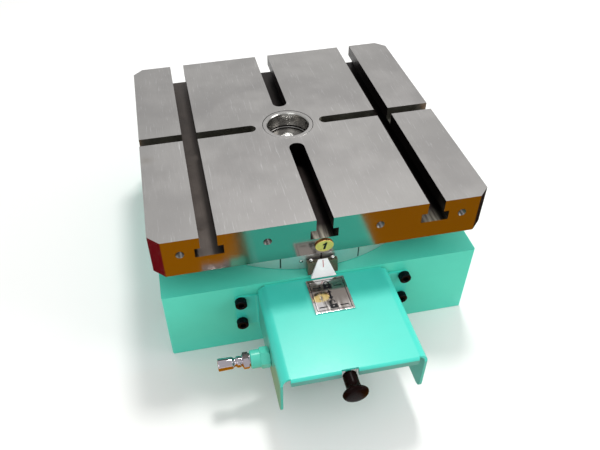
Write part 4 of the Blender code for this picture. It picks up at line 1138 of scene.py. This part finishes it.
# ===================================================== pointer, plate, marks
bm = bmesh.new()
bmesh.ops.create_cube(bm, size=1.0)
bmesh.ops.scale(bm, vec=(34.0, 8.8, 111.5 - BASE_H - 0.3), verts=bm.verts)
bmesh.ops.translate(bm, vec=(0, -176.8, (111.5 + BASE_H + 0.3) / 2),
                    verts=bm.verts)
for v in bm.verts:
    if v.co.z > 100 and v.co.y < -180:
        v.co.y = -177.8
o = take("pointer_stand", bm, M_BRACKET)
o = carve(o, [lathe("cut", [(0, -5), (1.3, -5), (1.3, 1), (0, 1)], 24,
                    (x, -174.7, 111.5), 'Z', M_THREAD, closed=False)
              for x in (-12.0, 12.0)])
o = round_edges(o, 0.6, 3, 50)
finish(o, "base", "bracket_black", "pointer_bracket", angle=35)

bm = bmesh.new()
bmesh.ops.create_cube(bm, size=1.0)
bmesh.ops.scale(bm, vec=(28.4, 3.6, 20.6), verts=bm.verts)
bmesh.ops.translate(bm, vec=(0, -183.7, 105.0), verts=bm.verts)
for v in bm.verts:
    if v.co.z > 100:
        v.co.x *= 5.3 / 14.2
        v.co.y = -178.3 if v.co.y < -183 else -177.3
o = take("pointer_plate", bm, M_POINTER)
o = round_edges(o, 0.35, 3, 40)
finish(o, "base", "pointer_plate", "index_pointer", angle=35)
# the red line lies in the pointer's front face, from its top down
P1 = Vector((0, -178.3, 115.3))
P0 = Vector((0, -185.5, 94.7))
up = (P1 - P0).normalized()
out = Vector((0, -up.z, up.y))
top_at, low_at = P1 - up * 0.9, P1 - up * 9.6
bm = bmesh.new()
mat4 = Matrix((Vector((1, 0, 0)), up, out)).transposed().to_4x4()
mat4.translation = (top_at + low_at) / 2 + out * 0.02
bmesh.ops.create_cube(bm, size=1.0, matrix=mat4 @ Matrix.Diagonal(
    (0.85, (top_at - low_at).length, 0.12, 1)))
o = take("pointer_line", bm, M_RED)
o = round_edges(o, 0.03, 2, 40)
finish(o, "base", "pointer_plate", angle=35)

LZ = COVER_TOP + 1.3
o = block("function_plate", (-21.3, -234.6, COVER_TOP + 0.3),
          (21.3, -187.2, LZ), M_MIRROR, corner=0.8, segs=4, edge=0.22,
          esegs=2)
finish(o, "base", "mirror_plate", "label_plate", angle=40)
INK = (LZ - 0.02, LZ + 0.07)


def ink(name, loops):
    o = sheet_of(name, loops, *INK, M_INK)
    return finish(o, "base", "mirror_plate", angle=40, weighted=False)


ink("plate_border", [rect(-18.9, -232.2, 18.9, -189.6, 0.6),
                     rect(-18.2, -231.5, 18.2, -190.3, 0.4)])
# double-headed arrow along the knob's travel
ya, yb = -218.6, -204.4
ink("plate_arrow", [[(0, yb), (-3.0, yb - 4.4), (-1.05, yb - 4.0),
                     (-1.05, ya + 4.0), (-3.0, ya + 4.4), (0, ya),
                     (3.0, ya + 4.4), (1.05, ya + 4.0), (1.05, yb - 4.0),
                     (3.0, yb - 4.4)]])


def shut_lock(cx, cy, k):
    outer = [(-3.6, 0), (3.6, 0), (3.6, 5.2), (2.6, 5.2), (2.6, 6.4)] + \
        arc(0, 6.4, 2.6, 0, 180, 16)[1:] + [(-2.6, 5.2), (-3.6, 5.2)]
    hole = [(-1.6, 5.2), (1.6, 5.2), (1.6, 6.4)] + \
        arc(0, 6.4, 1.6, 0, 180, 16)[1:]
    key = arc(0, 2.9, 0.75, 0, 330, 11)
    return [[(cx + k * x, cy + k * y) for x, y in p]
            for p in (outer, hole, key)]


def open_lock(cx, cy, k):
    outer = [(-3.6, 0), (3.6, 0), (3.6, 5.2), (-1.6, 5.2), (-1.6, 7.9)] + \
        arc(0, 7.9, 1.6, 180, 0, 16)[1:] + [(1.6, 6.7), (2.6, 6.7),
                                            (2.6, 7.9)] + \
        arc(0, 7.9, 2.6, 0, 180, 16)[1:] + [(-2.6, 5.2), (-3.6, 5.2)]
    key = arc(0, 2.9, 0.75, 0, 330, 11)
    return [[(cx + k * x, cy + k * y) for x, y in p] for p in (outer, key)]


ink("plate_locked_sign", shut_lock(0, -202.6, 1.22))
ink("plate_open_sign", open_lock(0, -230.6, 1.14))
for s in (-1, 1):
    ink("plate_bar_%s" % ("left" if s < 0 else "right"),
        [rect(6.8 if s > 0 else -15.8, -200.2,
              15.8 if s > 0 else -6.8, -198.8, 0.4)])
    ink("plate_low_bar_%s" % ("left" if s < 0 else "right"),
        [rect(6.8 if s > 0 else -15.8, -228.2, 15.8 if s > 0 else -6.8,
              -226.8, 0.4)])

# ================================================================ air inlet
prof = soften([(3.5, 21.0), (8.5, 21.0), (9.8, 20.0), (9.8, 10.6),
               (9.0, 10.4), (8.9, 0.3), (8.0, 0.3), (8.0, -14.0),
               (3.5, -14.0)], 0.4, 3)
o = lathe("inlet_body", prof, 72, PLUG, '-X', M_MINT3)
hx = hexagon("cut", 20.0, 0.3, 10.5, PLUG, '-X', M_MINT3, turn=0.26)
hx = carve(hx, [lathe("cut", [(0, -5), (8.6, -5), (8.6, 20), (0, 20)], 72,
                      PLUG, '-X', M_MINT3, closed=False)])
o = carve(o, [hx], 'UNION')
finish(o, "base", "mint_paint", "bulkhead_fitting", angle=34)

prof = [(2.6, 55.0), (6.0, 55.0), (6.4, 54.9), (6.7, 54.4), (6.8, 53.8),
        (6.6, 47.0), (6.4, 40.4), (6.2, 39.6), (4.9, 38.3), (4.55, 37.8),
        (4.5, 36.7), (4.8, 36.0), (5.9, 35.0), (6.1, 34.5), (6.1, 32.2),
        (5.9, 31.6), (5.5, 30.9), (5.4, 30.4), (5.4, 29.9), (6.6, 29.5),
        (7.0, 29.0), (7.0, 21.3), (2.6, 21.3)]
o = lathe("plug_body", prof, 72, PLUG, '-X', M_NICKEL)
hx = hexagon("cut", 16.2, 22.3, 28.9, PLUG, '-X', M_NICKEL, turn=0.10)
hx = carve(hx, [lathe("cut", [(0, 10), (6.0, 10), (6.0, 40), (0, 40)], 72,
                      PLUG, '-X', M_NICKEL, closed=False)])
o = carve(o, [hx], 'UNION')
finish(o, "base", "plug_chrome", "air_plug", angle=34)

# ===================================================================== knob
prof = [(0, 25.7), (3.0, 25.72), (6.0, 25.6), (8.6, 25.2), (10.6, 24.5),
        (12.0, 23.6), (12.65, 22.8), (12.9, 22.0), (12.85, 21.5),
        (12.5, 20.95), (11.8, 20.4), (10.4, 19.5), (9.2, 18.6),
        (8.3, 17.4), (7.75, 16.0), (7.4, 14.4), (7.25, 13.0),
        (7.2, 11.5), (7.2, 0.6), (6.8, 0.0), (0, 0.0)]
o = lathe("knob_body", prof, 96, KNOB, '-Y', M_KNOB, closed=False)
finish(o, "knob", "knob_plastic", "push_knob", angle=50)

# ============================================= finish for the carried nodes
KEEP = {
    "spindle_nut": M_DARK, "bearing_inner_race": M_BEAR,
    "bearing_outer_race": M_BEAR, "ball_cage": M_CAGE,
    "bearing_retainer": M_DARK, "spindle_lower_bush": M_BRONZE,
    "clamp_cylinder": M_DARK, "clamp_piston": M_STEEL,
    "clamp_seal": M_RUBBER, "index_drum": M_STEEL,
    "index_bush_1": M_BEAR, "index_bush_2": M_BEAR, "index_bush_3": M_BEAR,
    "index_bush_4": M_BEAR, "index_housing": M_DARK,
    "pin_guide_bush": M_BRONZE, "index_pin": M_BEAR, "pin_piston": M_BEAR,
    "piston_seal": M_RUBBER, "cylinder_cap": M_ALU,
    "return_spring": M_SPRING, "bulkhead_locknut": M_ZINC,
    "valve_body": M_ALU, "valve_spool": M_BEAR, "valve_bracket": M_ZINC,
    "bracket_screw_1": M_OXIDE, "bracket_screw_2": M_OXIDE,
    "valve_inlet_fitting": M_FIT, "valve_index_fitting": M_FIT,
    "valve_clamp_fitting": M_FIT, "bulkhead_inner_fitting": M_FIT,
    "cylinder_fitting": M_FIT, "supply_tube": M_TUBE,
    "index_tube": M_TUBE, "clamp_tube": M_TUBE,
}
for name, m in KEEP.items():
    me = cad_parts[name].data
    me.materials.clear()
    me.materials.append(m)

# ================================================================= surround
bm = bmesh.new()
bmesh.ops.create_grid(bm, x_segments=1, y_segments=1, size=1.0)
bmesh.ops.scale(bm, vec=(6.0, 6.0, 1), verts=bm.verts)
me = bpy.data.meshes.new("floor")
bm.to_mesh(me)
bm.free()
floor = bpy.data.objects.new("floor", me)
COL.objects.link(floor)
floor.location = (0, 0, -0.0002)
n = Net("floor_pale", (0.86, 0.86, 0.85), 0.85)
n.rough(n.span(n.noise(30.0, 4.0), 0.3, 0.7, 0.8, 0.95))
me.materials.append(n.m)


def card(name, x0, x1, y0, y1, color, strength):
    """A coloured sheet beside the object, seen only in its reflections."""
    me = bpy.data.meshes.new(name)
    me.from_pydata([(x0 * MM, y0 * MM, 0.001), (x1 * MM, y0 * MM, 0.001),
                    (x1 * MM, y1 * MM, 0.001), (x0 * MM, y1 * MM, 0.001)],
                   [], [(0, 1, 2, 3)])
    o = bpy.data.objects.new(name, me)
    COL.objects.link(o)
    m = bpy.data.materials.new(name)
    m.use_nodes = True
    t = m.node_tree
    t.nodes.clear()
    e = t.nodes.new("ShaderNodeEmission")
    e.inputs[0].default_value = (*color, 1.0)
    e.inputs[1].default_value = strength
    out = t.nodes.new("ShaderNodeOutputMaterial")
    t.links.new(e.outputs[0], out.inputs[0])
    me.materials.append(m)
    for k in ("visible_camera", "visible_diffuse", "visible_shadow",
              "visible_transmission", "visible_volume_scatter"):
        setattr(o, k, False)


WARM = (0.62, 0.235, 0.004)
card("card_left_far", -440, -76, -540, -198, WARM, 0.86)
card("card_left_near", -76, -30, -540, -312, (0.30, 0.22, 0.10), 0.6)
card("card_right_far", 76, 400, -540, -198, WARM, 0.74)
card("card_right_near", 30, 76, -540, -312, WARM, 0.74)
card("card_left_corner", -420, -280, -199, -120, (0.70, 0.02, 0.045), 0.36)
card("card_right_corner", 280, 430, -199, 60, (0.02, 0.012, 0.01), 1.0)

world = bpy.data.worlds.new("studio")
bpy.context.scene.world = world
world.use_nodes = True
bg = world.node_tree.nodes["Background"]
bg.inputs[0].default_value = (0.98, 0.99, 1.0, 1.0)
bg.inputs[1].default_value = 0.68


def area(name, at, aim, size, power, color=(1, 1, 1), size_y=None,
         gloss_only=False):
    d = bpy.data.lights.new(name, 'AREA')
    d.energy = power
    d.color = color
    d.size = size
    if size_y:
        d.shape = 'RECTANGLE'
        d.size_y = size_y
    o = bpy.data.objects.new(name, d)
    COL.objects.link(o)
    o.location = at
    o.rotation_euler = (Vector(aim) - Vector(at)).to_track_quat(
        '-Z', 'Y').to_euler()
    o.visible_camera = False
    if gloss_only:
        o.visible_diffuse = False
    return o


area("key", (0.30, 0.66, 1.95), (0, -0.05, 0.1), 0.34, 22.5, (1.0, 0.99, 0.97))
area("front_fill", (-0.9, -1.6, 1.2), (0, -0.1, 0.05), 1.2, 8,
     (0.97, 0.99, 1.0))
area("right_fill", (1.5, -0.7, 0.9), (0, 0, 0.05), 1.0, 15, (1.0, 0.98, 0.96))

# =================================================================== camera
cam = bpy.data.cameras.new("camera")
cam.sensor_width = 36.0
cam.lens = 37.313
cam.shift_x = 0.0549
cam.shift_y = 0.0489
cam.clip_start = 0.01
cam.clip_end = 50.0
co = bpy.data.objects.new("camera", cam)
COL.objects.link(co)
rv = Vector((2.3336, -0.2354, 0.0599))
R = Matrix.Rotation(rv.length, 3, rv.normalized())
right, down, fwd = R[0], R[1], R[2]
basis = Matrix((right, -down, -fwd)).transposed().to_4x4()
basis.translation = Vector((-0.1355, -0.6373, 0.5899))
co.matrix_world = basis
bpy.context.scene.camera = co
bpy.context.scene.view_settings.view_transform = 'Standard'

bpy.context.view_layer.update()
